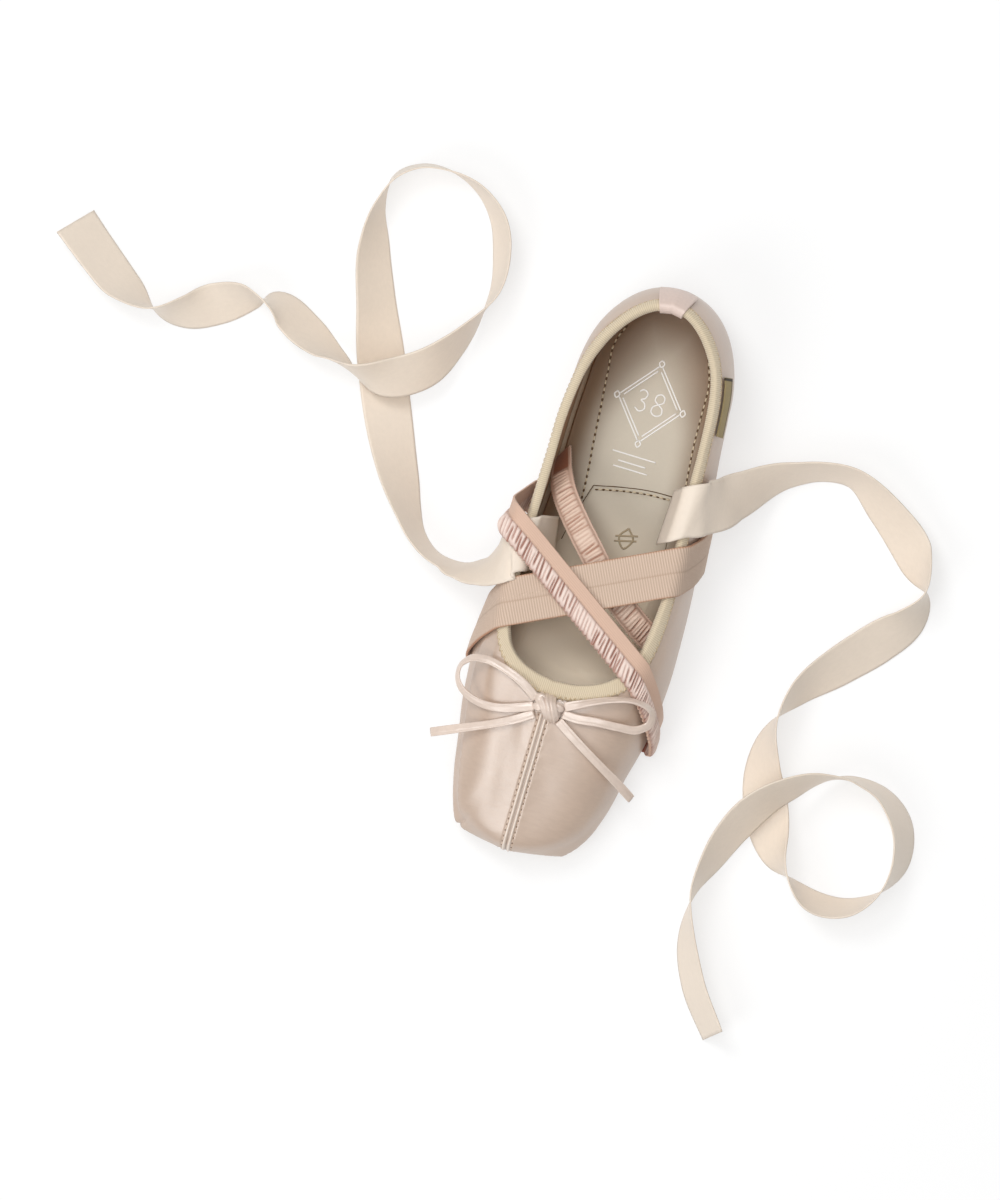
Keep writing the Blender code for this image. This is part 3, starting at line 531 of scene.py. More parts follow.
BEAD_DIP = np.array((-1.6, 0.3, 1.0, 1.0, 0.3, -1.6))       # of a stitch's line, in radii
BEAD_TAPER = np.array((0.5, 0.95, 1.0, 1.0, 0.95, 0.5))
HOLE_TAPER = np.array((0.35, 0.9, 1.0, 0.9, 0.35))


def on_line(line, ups, places):
    """Points of a line and its upward directions at some distances along it."""
    keys = lengths(line)
    return interpolate(places, keys, line), interpolate(places, keys, ups)


def upwards(line):
    """The upward direction at every point of a line."""
    return np.tile(UP, (len(line), 1))


def sew(surface, line, ups, pitch, length, radius, lift):
    """Add a row of stitches along a line: short beads that dip into the cloth at both ends."""
    for start in np.arange(pitch / 2, lengths(line)[-1] - length, pitch):
        bead, up = on_line(line, ups, start + np.linspace(0.0, length, len(BEAD_DIP)))
        up = unit(up)
        bead = bead + up * (BEAD_DIP * radius + lift)[:, None]
        surface.patch(tube_grid(bead, up, radius, radius, 6, BEAD_TAPER))


def pierce(surface, line, ups, pitch, start, half_length, half_width):
    """Add a row of needle holes along a line, as small flat ovals on the cloth."""
    for at in np.arange(start, lengths(line)[-1] - half_length, pitch):
        spot, up = on_line(line, ups, at + np.linspace(-half_length, half_length, len(HOLE_TAPER)))
        surface.patch(tube_grid(spot + up * 0.03, up, half_width, 0.1, 8, HOLE_TAPER))


# ---------------------------------------------------------------- finishes

def linear(red, green, blue):
    """A display colour, 0 to 255 each, as Blender's linear values."""
    return tuple((c / 12.92 if c <= 0.04045 else ((c + 0.055) / 1.055) ** 2.4)
                 for c in (red / 255, green / 255, blue / 255))


class Value:
    """A socket that takes part in sums as a plain number does."""

    def __init__(self, tree, socket):
        self.tree, self.socket = tree, socket

    def math(self, operation, *terms):
        """The result of one Math node."""
        node = self.tree.nodes.new("ShaderNodeMath")
        node.operation = operation
        for socket, term in zip(node.inputs, terms):
            if isinstance(term, Value):
                self.tree.links.new(term.socket, socket)
            else:
                socket.default_value = term
        return Value(self.tree, node.outputs[0])

    def __add__(self, other):
        return self.math("ADD", self, other)

    def __sub__(self, other):
        return self.math("SUBTRACT", self, other)

    def __rsub__(self, other):
        return self.math("SUBTRACT", other, self)

    def __mul__(self, other):
        return self.math("MULTIPLY", self, other)

    __radd__, __rmul__ = __add__, __mul__


class Finish:
    """A material made of a Principled shader and the nodes that vary it."""

    def __init__(self, name, **numbers):
        self.material = bpy.data.materials.new(name)
        self.material.use_nodes = True
        self.tree = self.material.node_tree
        self.shader = self.tree.nodes["Principled BSDF"]
        for socket, number in numbers.items():
            self.shader.inputs[socket.replace("_", " ")].default_value = number

    def node(self, kind, settings=(), sockets=(), output=0):
        """Any node: its settings first, then the values or links of its sockets."""
        node = self.tree.nodes.new(kind)
        for name, value in dict(settings).items():
            setattr(node, name, value)
        for name, value in dict(sockets).items():
            if isinstance(value, Value):
                self.tree.links.new(value.socket, node.inputs[name])
            else:
                node.inputs[name].default_value = value
        return Value(self.tree, node.outputs[output])

    def mark(self, name):
        """A named value that the mesh carries on its points."""
        return self.node("ShaderNodeAttribute", {"attribute_name": name}, output="Fac")

    def place(self, stretch=(1.0, 1.0, 1.0)):
        """The point's own place in metres, stretched."""
        where = self.node("ShaderNodeTexCoord", output="Object")
        return self.node("ShaderNodeMapping", (), {"Vector": where, "Scale": stretch})

    def noise(self, scale, detail=2.0, stretch=(1.0, 1.0, 1.0)):
        """Soft random spots, scale of them to the metre."""
        return self.node("ShaderNodeTexNoise", (), {
            "Vector": self.place(stretch), "Scale": scale, "Detail": detail, "Roughness": 0.5})

    def mix(self, share, low, high):
        """A colour between two others."""
        def full(colour):
            return colour if isinstance(colour, Value) else (*colour, 1.0)
        return self.node("ShaderNodeMix", {"data_type": "RGBA"},
                         {0: share, 6: full(low), 7: full(high)}, output=2)

    def bump(self, height, distance):
        """Relief of the given depth in millimetres from a height of 0 to 1."""
        return self.node("ShaderNodeBump", (), {"Height": height, "Distance": distance * MM})

    def feed(self, base, relief, depth, roughness=None):
        """Link colour, relief and, where it varies, roughness; hand over the material."""
        links = {"Base Color": base, "Normal": self.bump(relief, depth), "Roughness": roughness}
        for socket, value in links.items():
            if value is not None:
                self.tree.links.new(value.socket, self.shader.inputs[socket])
        return self.material


def shade(colour, factor):
    """A colour made darker or lighter."""
    return tuple(min(1.0, c * factor) for c in colour)


def shades(finish, share, colour, darkest, lightest):
    """A colour that varies between two of its shades."""
    return finish.mix(share, shade(colour, darkest), shade(colour, lightest))


def satin_finish(name, colour, roughness, slub=(0.25, 1.0, 0.6), gloss=0.6, ior=1.5,
                 seams=None, mottle=(0.84, 1.14)):
    """Silky warp-faced cloth: long fine threads, soft streaks and a low sheen.

    seams holds the colours of the marks that the mesh carries: on its seams, and the painted shade on its sides.
    """
    finish = Finish(name, Specular_IOR_Level=gloss, IOR=ior, Sheen_Weight=0.1, Sheen_Roughness=0.35)
    clouds = finish.noise(55.0, 3.0)
    streaks = finish.noise(900.0, 3.0, slub)
    weave = finish.noise(4200.0, 1.0, slub)
    tone = clouds * 0.45 + streaks * 0.55
    base = shades(finish, tone, colour, *mottle)
    for mark, seam_colour in (seams or {}).items():
        base = finish.mix(finish.mark(mark), base, seam_colour)
    return finish.feed(base, streaks * 0.6 + weave * 0.4, 0.06, roughness - 0.07 + streaks * 0.14)


def knit_finish(name, colour, painted_rib_shade):
    """Matt ribbed tape; the ribs are in the mesh, with painted shade between them and a little painted highlight on
    them.
    """
    finish = Finish(name, Specular_IOR_Level=0.3, Sheen_Weight=0.25, Sheen_Roughness=0.6)
    fibres = finish.noise(3200.0, 3.0)
    clouds = finish.noise(90.0, 2.0)
    tone = finish.mark("rib") * 0.65 + clouds * 0.2 + fibres * 0.15
    base = finish.mix(tone, painted_rib_shade, shade(colour, 1.06))
    return finish.feed(base, fibres, 0.06, 0.78 + fibres * 0.15)


def sock_finish(name, colour, pad, rim):
    """Smooth lining leather with a faint grain and a few soft marks; painted light makes its front lighter, and
    painted shade makes it darker and warmer along its rim.
    """
    finish = Finish(name, Specular_IOR_Level=0.42)
    grain = finish.node("ShaderNodeTexVoronoi", {"feature": "DISTANCE_TO_EDGE"},
                        {"Vector": finish.place(), "Scale": 1500.0})
    clouds = finish.noise(38.0, 4.0)
    specks = finish.noise(700.0, 2.0)
    tone = clouds * 0.75 + specks * 0.25
    main = shades(finish, tone, colour, 0.9, 1.08)
    # painted light towards the toe, then painted shade along the rim
    front = finish.mix(finish.mark("pad"), main, pad)
    base = finish.mix(finish.mark("rim"), front, rim)
    return finish.feed(base, grain * 0.5 + specks * 0.5, 0.05, 0.46 + clouds * 0.14)


def fold_finish(name, crest, valley):
    """Gathered satin, with painted highlight pale on the crests and painted shade deep in the folds."""
    finish = Finish(name, Specular_IOR_Level=0.45, Sheen_Weight=0.2, Sheen_Roughness=0.4)
    threads = finish.noise(3000.0, 2.0)
    tone = finish.mark("fold") * 0.86 + threads * 0.14
    return finish.feed(finish.mix(tone, valley, crest), threads, 0.05, 0.5 + threads * 0.15)


def plain_finish(name, colour, roughness, grain=1200.0, depth=0.04):
    """One colour with a little life in it."""
    finish = Finish(name, Specular_IOR_Level=0.4)
    specks = finish.noise(grain, 3.0)
    clouds = finish.noise(70.0, 2.0)
    base = shades(finish, specks * 0.5 + clouds * 0.5, colour, 0.9, 1.08)
    return finish.feed(base, specks, depth, roughness - 0.06 + specks * 0.12)


def grosgrain_finish(name, look):
    """Ribbed elastic, with painted shade between its ribs and painted highlight on them, and a darker line of painted
    shade along its edges.
    """
    finish = Finish(name, Specular_IOR_Level=0.35, Sheen_Weight=0.15)
    threads = finish.noise(3600.0, 2.0)
    tone = finish.mark("rib") * 0.8 + threads * 0.2
    base = finish.mix(tone, look.grosgrain_painted_shade, look.grosgrain)
    edged = finish.mix(finish.mark("edge") * 0.8, base, look.edge)
    return finish.feed(edged, threads, 0.05, 0.62 + threads * 0.15)


def ruched_finish(name, look):
    """A flat peach band beside gathered satin, with raw ends; the satin has painted highlight on its folds and painted
    shade between them.
    """
    finish = Finish(name, Specular_IOR_Level=0.4, Sheen_Weight=0.2)
    threads = finish.noise(3200.0, 2.0)
    satin = finish.mix(finish.mark("fold") * 0.86 + threads * 0.14, look.valley, look.crest)
    flat = shades(finish, threads, look.peach, 0.93, 1.05)
    both = finish.mix(finish.mark("ruche"), flat, satin)
    base = finish.mix(finish.mark("raw"), both, look.raw)
    return finish.feed(base, threads, 0.05, 0.52 + threads * 0.2)


def woven_finish(name, colour, end_colour):
    """The cloth of a small woven label, with a stripe at its end."""
    finish = Finish(name, Specular_IOR_Level=0.4, Roughness=0.6)
    threads = finish.noise(3500.0, 2.0, (1.0, 0.4, 1.0))
    base = shades(finish, threads, colour, 0.8, 1.2)
    return finish.feed(finish.mix(finish.mark("stripe"), base, end_colour), threads, 0.08)


# ---------------------------------------------------------------- settings

def length(name, default_mm, description):
    """A length setting, given in millimetres and kept in metres."""
    return FloatProperty(name=name, description=description, default=default_mm * MM,
                         min=0.0, precision=5, unit="LENGTH")


def colour(name, red, green, blue, description):
    """A colour setting, given as a display colour."""
    return FloatVectorProperty(name=name, description=description, size=3, min=0.0, max=1.0,
                               default=linear(red, green, blue), subtype="COLOR")


class UpperLook(PropertyGroup):
    """The satin upper and what is sewn to it."""
    satin: colour("Satin", 192, 167, 147, "Colour of the upper's satin")
    # painted shade: the satin on the box's inner side is darker, as it faces away from the light
    side: colour("Box side", 188, 158, 134, "Colour of the satin on the box's inner side")
    lining: colour("Lining", 204, 166, 134, "Colour of the lining inside the upper")
    thread: colour("Thread", 220, 200, 182, "Colour of the stitches on the vamp")
    piped: colour("Piping", 240, 224, 210, "Colour of the piping of the vamp's middle seam")
    hole: colour("Needle holes", 134, 110, 92, "Colour of the needle holes beside the seam")
    spacing: length("Mesh spacing", 0.8, "Distance between the columns of the upper's mesh")
    ridge: length("Ridge height", 2.4, "How far the vamp's middle stands above its flat shape")
    piping: length("Piping height", 0.6, "How far the piping of the middle seam stands out")
    crease: length("Box crease", 2.0, "How sharp the edge of the box is on the inner side")
    softness: length("Undulation", 0.15, "Depth of the cloth's soft unevenness")
    tucks: length("Toe tucks", 0.65, "Depth of the tucks along the sole around the toe")


class BindingLook(PropertyGroup):
    """The knitted tape round the opening, the heel tab and the label."""
    # painted highlight and shade: the tape is lighter on its ribs and darker between them and on its hidden back
    tape: colour("Tape", 220, 206, 182, "Colour of the tape on its ribs")
    shade: colour("Tape, between ribs", 188, 170, 140, "Colour of the tape between its ribs")
    rib: length("Rib pitch", 0.84, "Distance from rib to rib along the tape")
    relief: length("Rib height", 0.16, "How far a rib stands out")
    thread: colour("Thread", 208, 186, 150, "Colour of the zigzag stitch")
    tab: colour("Heel tab", 219, 198, 187, "Colour of the grosgrain tab")
    label: colour("Label", 158, 140, 98, "Colour of the woven label")
    label_end: colour("Label end", 58, 48, 36, "Colour of the stripe at the label's end")


class ElasticLook(PropertyGroup):
    """The three elastics over and inside the instep."""
    # painted highlight and shade: the ribbed elastic is lighter on its ribs and darker between them
    grosgrain: colour("Grosgrain", 228, 206, 188, "Colour of the ribbed elastic on its ribs")
    grosgrain_painted_shade: colour("Grosgrain, between ribs", 168, 140, 118, "Colour between its ribs")
    rib: length("Rib pitch", 1.1, "Distance from rib to rib along the ribbed elastic")
    # painted shade: the darker line along the ribbed elastic's edges
    edge: colour("Edge line", 176, 118, 78, "Colour of the line woven along the elastic's edge")
    peach: colour("Peach band", 209, 176, 155, "Colour of the flat band of the ruched elastic")
    # painted highlight and shade: the ruche is pale on its folds and deep between them
    crest: colour("Ruche", 241, 222, 211, "Colour of the gathered satin on its folds")
    valley: colour("Ruche, between folds", 140, 76, 52, "Colour deep between the folds")
    gather: length("Fold pitch", 1.8, "Distance from fold to fold of the ruche")
    # painted highlight and shade: the pleats are pale on top and deep between them
    pleat: colour("Pleat crest", 230, 205, 186, "Colour of the inner elastic on top of its pleats")
    pleat_painted_shade: colour("Pleat valley", 142, 86, 60, "Colour of the inner elastic between them")
    raw: colour("Raw end", 150, 84, 66, "Colour of the cut ends of the ruched elastic")
    puff: length("Fold height", 1.4, "How far the folds of the ruche stand out")


class RibbonLook(PropertyGroup):
    """The ankle ribbons and the bow."""
    satin: colour("Ribbon", 231, 217, 201, "Colour of the ankle ribbons")
    bow: colour("Bow", 220, 201, 187, "Colour of the bow's satin")
    width: length("Ribbon width", 21.0, "Width of the ankle ribbons")
    strand: length("Strand width", 3.7, "Width of a flattened strand of the bow")
    columns: IntProperty(name="Points across", description="Points across a ribbon's width",
                         default=13, min=3)


class SoleLook(PropertyGroup):
    """The sock, outsole and heel."""
    sock: colour("Sock", 199, 190, 173, "Colour of the sock leather")
    # painted light: the sock's front is made lighter, where the vamp shades it
    pad: colour("Front pad", 244, 230, 206, "Colour of the sock's front pad")
    # painted shade: the sock's dark warm colour along its rim, where the walls shade it
    rim: colour("Sock rim", 118, 88, 58, "Colour of the sock along its rim at the heel")
    pressed: colour("Pressed lines", 172, 156, 128, "Colour of the lines pressed into the pad")
    # also the colour of the dark lines of painted shade along the pad's edges
    hole: colour("Needle holes", 96, 74, 50, "Colour of the needle holes in the sock")
    thread: colour("Sock thread", 214, 200, 172, "Colour of the sock's stitches")
    print_colour: colour("Print", 242, 240, 236, "Colour of the ornament printed on the sock")
    rubber: colour("Rubber", 204, 182, 156, "Colour of the outsole")
    stack: colour("Heel", 178, 150, 122, "Colour of the heel block")
    cup: length("Cup", 2.4, "How far the edge of the sock rises")


class StageLook(PropertyGroup):
    """Camera, floor and lights."""
    frame_height: FloatProperty(name="Picture height", description="Height of what the camera takes in",
                                default=0.505, unit="LENGTH")
    focal: FloatProperty(name="Focal length", description="Focal length of the lens",
                         default=400.0, unit="CAMERA")
    turn: FloatProperty(name="Roll", description="Turn of the shoe in the picture",
                        default=math.radians(16.97), subtype="ANGLE")
    lean: FloatProperty(name="Lean", description="Tilt of the camera to the outer side",
                        default=math.radians(3.78), subtype="ANGLE")
    aim: FloatVectorProperty(name="Aim", description="Point on the floor that the camera looks at",
                             default=(-0.0372, -0.0243, 0.0), subtype="TRANSLATION", unit="LENGTH")
    key: FloatProperty(name="Key light", description="Power of the large light",
                       default=10.2, unit="POWER")
    sky: FloatProperty(name="Sky", description="Strength of the light from all round", default=0.38)


# ---------------------------------------------------------------- upper

RIB_COLUMNS = 4             # columns of points to a rib of the binding


def ring_places(spacing, seam=0.0, outline_too=True):
    """(side, run) of columns all round, closer by the factor seam at the middle of the toe."""
    runs = np.linspace(0.0, 1.0, 900)
    found = {}
    for side in (MEDIAL, LATERAL):
        top = np.array([smooth_rows(TOPLINES[side], run) for run in runs])
        step = np.linalg.norm(np.diff(top, axis=0), axis=1)
        if outline_too:
            edge = np.array([outline(side, run) for run in runs])
            step = np.maximum(step, np.linalg.norm(np.diff(edge, axis=0), axis=1))
        step = step * (1.0 + seam * hump(runs[1:], 1.0, 0.035))
        travelled = np.concatenate(((0.0,), np.cumsum(step)))
        count = RIB_COLUMNS * round(travelled[-1] / spacing / RIB_COLUMNS)
        found[side] = np.interp(np.linspace(0.0, travelled[-1], count + 1), travelled, runs)
    medial = [(MEDIAL, run) for run in found[MEDIAL]]
    lateral = [(LATERAL, run) for run in found[LATERAL][1:-1]]
    return medial + lateral[::-1]


def upper_grid(places, shares):
    """Points of the outer face with distance down from the edge and up from the sole."""
    lines = [meridian(side, run, MERIDIAN_POINTS) for side, run in places]
    totals = np.array([lengths(line)[-1] for line in lines])
    grid = np.array([along_line(line, shares * total) for line, total in zip(lines, totals)])
    return grid, totals[:, None] * (1.0 - shares), totals[:, None] * shares


def relax_vamp(grid, places, drop, rise, passes=400):
    """Even out the vamp from side to side, but not its edges."""
    run = np.array(places)[:, 1:]
    free = smoothstep(0.66, 0.8, run) * smoothstep(5.5, 13.0, rise) * smoothstep(1.0, 12.0, drop)
    free = free[:, :, None] * 0.25
    for _ in range(passes):
        grid = grid + free * (np.roll(grid, 1, axis=0) + np.roll(grid, -1, axis=0) - 2.0 * grid)
    return grid


UPPER_ROWS = 54
ROW_CROWDING = 1.15         # power that brings the rows closer together towards the sole
SEAM_CROWDING = 3.0         # how much closer the columns are at the middle seam
MERIDIAN_POINTS = 130
LINING_STEP = 3             # rows of the outer face to a row of the lining
FREE_DROP = (6.8, 11.0)     # the cloth is free of the binding at these distances from the edge
RIDGE_RUN = (0.62, 0.86)
RIDGE_WIDTH = 11.0
RIDGE_RISE = (3.0, 16.0)
TUCK_RUN = (0.80, 0.88)
TUCK_PITCH = 2.3
CREASE_FALL = (4.5, 1.6)    # how far the crease of the box spreads over its top and its side
SEAM_RUN, SEAM_DROP = (0.9, 0.93), (5.9, 6.6)
BOX_CREASE = 5.4            # from the shoe's outline to the edge of the box on the inner side
BOX_FOOT = 5.0              # height of the part of the upper that turns in under the foot
SEAM_LINE = ((-123.0, -50.0), (-0.2, 0.0))      # y and x of the ends of the vamp's middle seam
SEAM_PITCH = 2.6            # from needle hole to needle hole
SEAM_STITCH = 2.1           # rows of stitches to each side of the middle seam
SEAM_PIPING = 1.15          # its two rows of piping
SEAM_END_Y = -57.5          # the stitches start in front of the knot
CORNER_DENT = 1.6           # depth of the dent at the toe's inner corner
BACK_SEAM = 0.25            # depth of the seam up the back of the heel


def box_side(grid, places):
    """Distance inwards from the crease along the box's inner side, and how far there is a box."""
    side, run = np.hsplit(np.array(places), 2)
    edge = np.array([outline(*place) for place in places])[:, None]
    inside = np.linalg.norm(grid[:, :, :2] - edge, axis=2) - BOX_CREASE
    under = grid[:, :, 2] < sole_top(grid[:, :, 1]) + BOX_FOOT
    boxed = (side == MEDIAL) * smoothstep(0.6, 0.7, run)
    boxed = boxed * smoothstep(CORNER_RUN + 0.01, CORNER_RUN - 0.02, run)
    return np.where(under, -BOX_CREASE, inside), boxed


def upper_relief(grid, places, drop, rise, look):
    """How far the satin stands off its plain form at each point, the marks of its seams, and the painted shade on the
    box's inner side.
    """
    x, y = grid[:, :, 0], grid[:, :, 1]
    side, run = np.hsplit(np.array(places), 2)
    along = lengths(grid[:, 0])[:, None]
    free = smoothstep(*FREE_DROP, drop)
    ridge = look.ridge / MM * smoothstep(*RIDGE_RUN, run) * free * np.exp(-np.abs(x) / RIDGE_WIDTH)
    ridge = ridge * smoothstep(*RIDGE_RISE, rise)

    inside, boxed = box_side(grid, places)
    crease = look.crease / MM * boxed * smoothstep(3.0, 9.0, rise)
    top_fall, side_fall = CREASE_FALL
    crease = crease * np.where(inside > 0.0, np.exp(-inside / top_fall), np.exp(inside / side_fall))

    off = np.abs(x - np.interp(y, *SEAM_LINE))
    seam = smoothstep(*SEAM_RUN, run) * smoothstep(*SEAM_DROP, drop)
    piping = look.piping / MM * hump(off, SEAM_PIPING, 0.46)
    valley = 0.3 * hump(off, SEAM_STITCH, 0.5) + 0.2 * hump(off, 0.0, 0.35)
    wave = np.sin(rise * 2.9 + np.sign(x) * 0.8) * 0.5 + np.sin(rise * 1.37 + 0.6 * np.sign(x)) * 0.5
    pucker = 0.12 * wave * hump(off, 4.0, 1.9)
    pull = 0.13 * np.cos(2 * math.pi * (rise + 0.8 * off) / SEAM_PITCH) * hump(off, 3.1, 0.7)

    phase = along / TUCK_PITCH + 0.9 * np.sin(along / 9.0) + 0.5 * np.sin(along / 3.7)
    tucks = look.tucks / MM * smoothstep(*TUCK_RUN, run) * (np.sin(phase * 2.0 * math.pi) * 0.6 - 0.4)
    tucks = tucks * hump(rise, 1.2, 3.2)
    dent = (side == MEDIAL) * hump(run, CORNER_RUN + 0.005, 0.006) * hump(rise, 5.0, 7.0)

    swell = np.sin(along / 17.0 + 1.3) * np.sin(drop / 11.0 + along / 60.0)
    swell = swell + 0.6 * np.sin(along / 8.3 + drop / 6.4) + 0.4 * np.sin(along / 4.9 - drop / 4.1)
    soft = look.softness / MM * swell * free * smoothstep(2.0, 9.0, rise)
    back = smoothstep(16.0, 17.5, drop) * hump(run, 0.0, 0.0035)
    relief = ridge + crease + seam * (piping - valley + pucker + pull) + tucks
    relief = relief - CORNER_DENT * dent + soft - BACK_SEAM * back
    return relief, {
        # painted shade: the side mark darkens the box's inner side, which faces away from the light
        "side": boxed * smoothstep(0.5, -0.3, inside),
        "piping": seam * hump(off, SEAM_PIPING, 0.5),
        "groove": seam * (hump(off, 0.0, 0.3) + 0.3 * hump(off, 1.9, 0.3)),
    }


def vamp_thread(thread, holes, places, grid, normals):
    """Rows of stitches and needle holes beside the middle seam of the vamp."""
    sides, runs = np.array(places).T
    for side in (MEDIAL, LATERAL):
        own = ((sides == side) | (runs == 1.0)) & (runs > 0.9)
        found = []
        for row in range(4, grid.shape[1]):
            off = np.abs(grid[own, row, 0])
            order = np.argsort(off)
            if off[order][-1] < SEAM_STITCH:
                continue
            both = np.hstack((grid[own, row], normals[own, row]))[order]
            found.append(interpolate(SEAM_STITCH, off[order], both)[0])
        line, up = np.hsplit(np.array([both for both in found if both[1] < SEAM_END_Y]), 2)
        sew(thread, line, up, SEAM_PITCH, length=1.6, radius=0.2, lift=0.05)
        pierce(holes, line, up, SEAM_PITCH, SEAM_PITCH / 2 - 0.5, half_length=0.42, half_width=0.36)


class SHOE_OT_upper(Operator):
    """Make the satin upper with its lining, seam and stitches"""
    bl_idname = "shoe.upper"
    bl_label = "Upper"

    def execute(self, context):
        look = context.scene.shoe_upper
        places = ring_places(look.spacing / MM, seam=SEAM_CROWDING)
        shares = np.linspace(0.0, 1.0, UPPER_ROWS) ** ROW_CROWDING
        grid, drop, rise = upper_grid(places, shares)
        grid = relax_vamp(grid, places, drop, rise)
        normals = surface_normals(grid)
        relief, marks = upper_relief(grid, places, drop, rise, look)
        outer = grid + normals * relief[:, :, None]
        inner = (grid - normals * WALL)[:, ::-LINING_STEP]
        slots = np.zeros(outer.shape[1] + inner.shape[1], int)
        slots[outer.shape[1]:-1] = 1
        behind = np.zeros(inner.shape[:2])
        surface = Surface(*marks)
        surface.patch(np.concatenate((outer, inner), axis=1), endless=True, slot=slots,
                      **{name: np.hstack((mark, behind)) for name, mark in marks.items()})
        # The side mark paints shade on the box's inner side.
        satin = satin_finish("upper_satin", look.satin, roughness=0.4, gloss=1.0, ior=1.8,
                             seams={"side": look.side, "piping": look.piped, "groove": look.hole})
        lining = plain_finish("upper_lining", look.lining, 0.75, grain=2600.0, depth=0.06)
        surface.build("satin_upper", satin, lining, slot="satin_upper", replaces="upper")

        thread, holes = Surface(), Surface()
        vamp_thread(thread, holes, places, outer, normals)
        finish = plain_finish("vamp_thread", look.thread, 0.6)
        thread.build("vamp_stitches", finish, slot="satin_upper")
        holes.build("vamp_holes", plain_finish("vamp_hole", look.hole, 0.8), slot="satin_upper")
        return {"FINISHED"}


# ---------------------------------------------------------------- binding, tab, label

SHOE_MIDDLE = (3.0, 20.0)   # a point inside the opening, in plan
BINDING_DEPTH = 6.3
BINDING_AT_HEEL = 0.55      # its depth at the heel, as a share of that at the throat
BINDING_SKIN = 0.6
BINDING_GAP = 0.15
BINDING_FACE = BINDING_GAP + BINDING_SKIN      # its outer face, off the upper
BINDING_WOBBLE = 0.08
RIB_SHAPE = (1.0, 0.55, 0.0, 0.55)      # height of a rib at its columns of points
ZIGZAG_STEP = 1.1
ZIGZAG_LIFT = 0.27          # how far its upper corners stand off the tape
ZIGZAG_THREAD = (0.15, 0.13)            # half its width and height
ZIGZAG_ARCH = np.array((-0.1, 0.16, 0.22, 0.16, -0.1))
TAB_RUN = 0.042
TAB_SKIN = 0.8
TAB_OUTSIDE, TAB_INSIDE = 15.0, 8.0     # how far the tab reaches down on either side of the edge
TAB_COLUMNS, TAB_ROWS = 25, 90
TAB_RIB_ROWS = 3.0          # rows of points to a rib of the tab
TAB_RIB, TAB_EDGE = 0.14, 0.15          # height of its ribs and of its woven edges
LABEL_RUNS = (0.197, 0.283)
LABEL_HEIGHT = 7.0
LABEL_OVERLAP, LABEL_GAP = 0.6, 0.4     # how far it reaches over the tape, and off its face
LABEL_LIFT = 0.7            # how far the label's lower edge stands off
LABEL_THICKNESS = 0.35
LABEL_COLUMNS, LABEL_ROWS = 60, 14
LABEL_END = slice(1, 4)     # columns of the stripe across its end
LABEL_LINES = np.ix_(range(4, LABEL_COLUMNS - 2), (1, 2, 24, 25))       # along its lower edge


def fold_profile(outside, inside, near, skin):
    """(drop, out, show) round a tape folded over the edge; show is 1 on its outer side, 0 behind."""
    far = near + skin
    profile = [(outside, far - skin * 0.55, 0.3), (outside - 0.25, far - 0.08, 1.0)]
    profile += [(outside * share, far + 0.18 * math.sin(math.pi * share), 1.0)
                for share in (0.84, 0.68, 0.5, 0.34, 0.17)]
    for turn in np.linspace(0.0, math.pi, 9):
        reach = WALL / 2 + far
        profile.append((-far * 1.15 * math.sin(turn), -WALL / 2 + reach * math.cos(turn), 1.0))
    profile += [(inside * share, -WALL - far, 1.0) for share in (0.35, 0.7, 0.93)]
    profile += [(inside, -WALL - near - skin * 0.5, 0.3), (inside * 0.93, -WALL - near, 0.0)]
    profile += [(0.0, -WALL - near, 0.0), (-near, -WALL / 2, 0.0), (0.0, near, 0.0)]
    profile += [(outside / 2, near, 0.0), (outside - 0.3, near, 0.0)]
    return np.array(profile)


def edge_band(places, profile, closed=True, depth=None):
    """A profile swept along the edge of the opening: its points and their outward directions.

    depth scales how far the profile reaches down, a number for each column.
    """
    depth = np.ones(len(places)) if depth is None else depth
    drop, out = profile[:, 0], profile[:, 1]
    lines = [meridian(side, run)[::-1] for side, run in places]

    def face(shift):
        """The upper's outer face under the profile, moved down by shift."""
        return np.array([along_line(line, np.maximum(np.maximum(drop, 0.0) * share + shift, 0.0))
                         for line, share in zip(lines, depth)])

    grid = face(0.0)
    up = face(-0.3) - face(0.3)
    normals = unit(np.cross(across_columns(grid, closed), up))
    normals = normals * np.sign(np.sum(normals[:, :, :2] * (grid[:, :, :2] - SHOE_MIDDLE)))
    up = unit(up)
    points = grid + normals * out[:, None] + up * np.maximum(-drop, 0.0)[:, None]
    turn_out, turn_up = np.gradient(-drop), -np.gradient(out)
    size = np.maximum(np.hypot(turn_out, turn_up), 1e-6)
    return points, normals * (turn_out / size)[:, None] + up * (turn_up / size)[:, None]


def binding_depth(places):
    """How far the binding reaches down, as a share of its depth at the throat."""
    run = np.array(places)[:, 1]
    return BINDING_AT_HEEL + (1.0 - BINDING_AT_HEEL) * smoothstep(0.42, 0.7, run)


def make_zigzag(look):
    """The zigzag stitch along the lower edge of the tape."""
    spots = ring_places(ZIGZAG_STEP, outline_too=False)
    rows = np.array((
        # drop, out
        (6.9, BINDING_GAP + 0.1),
        (4.9, BINDING_FACE + ZIGZAG_LIFT),
    ))
    corners, up = edge_band(spots, rows, depth=binding_depth(spots))
    shares = np.linspace(0.0, 1.0, len(ZIGZAG_ARCH))[:, None]
    zigzag = Surface()
    for i in range(len(spots)):
        low, high = (0, 1) if i % 2 else (1, 0)
        start, end = corners[i, low], corners[(i + 1) % len(spots), high]
        ups = np.repeat(up[i:i + 1, 0], len(ZIGZAG_ARCH), axis=0)
        line = start + (end - start) * shares + ups * ZIGZAG_ARCH[:, None]
        zigzag.patch(tube_grid(line, ups, *ZIGZAG_THREAD, sides=5))
    finish = plain_finish("zigzag_thread", look.thread, 0.7)
    zigzag.build("binding_stitches", finish, slot="knit_binding")


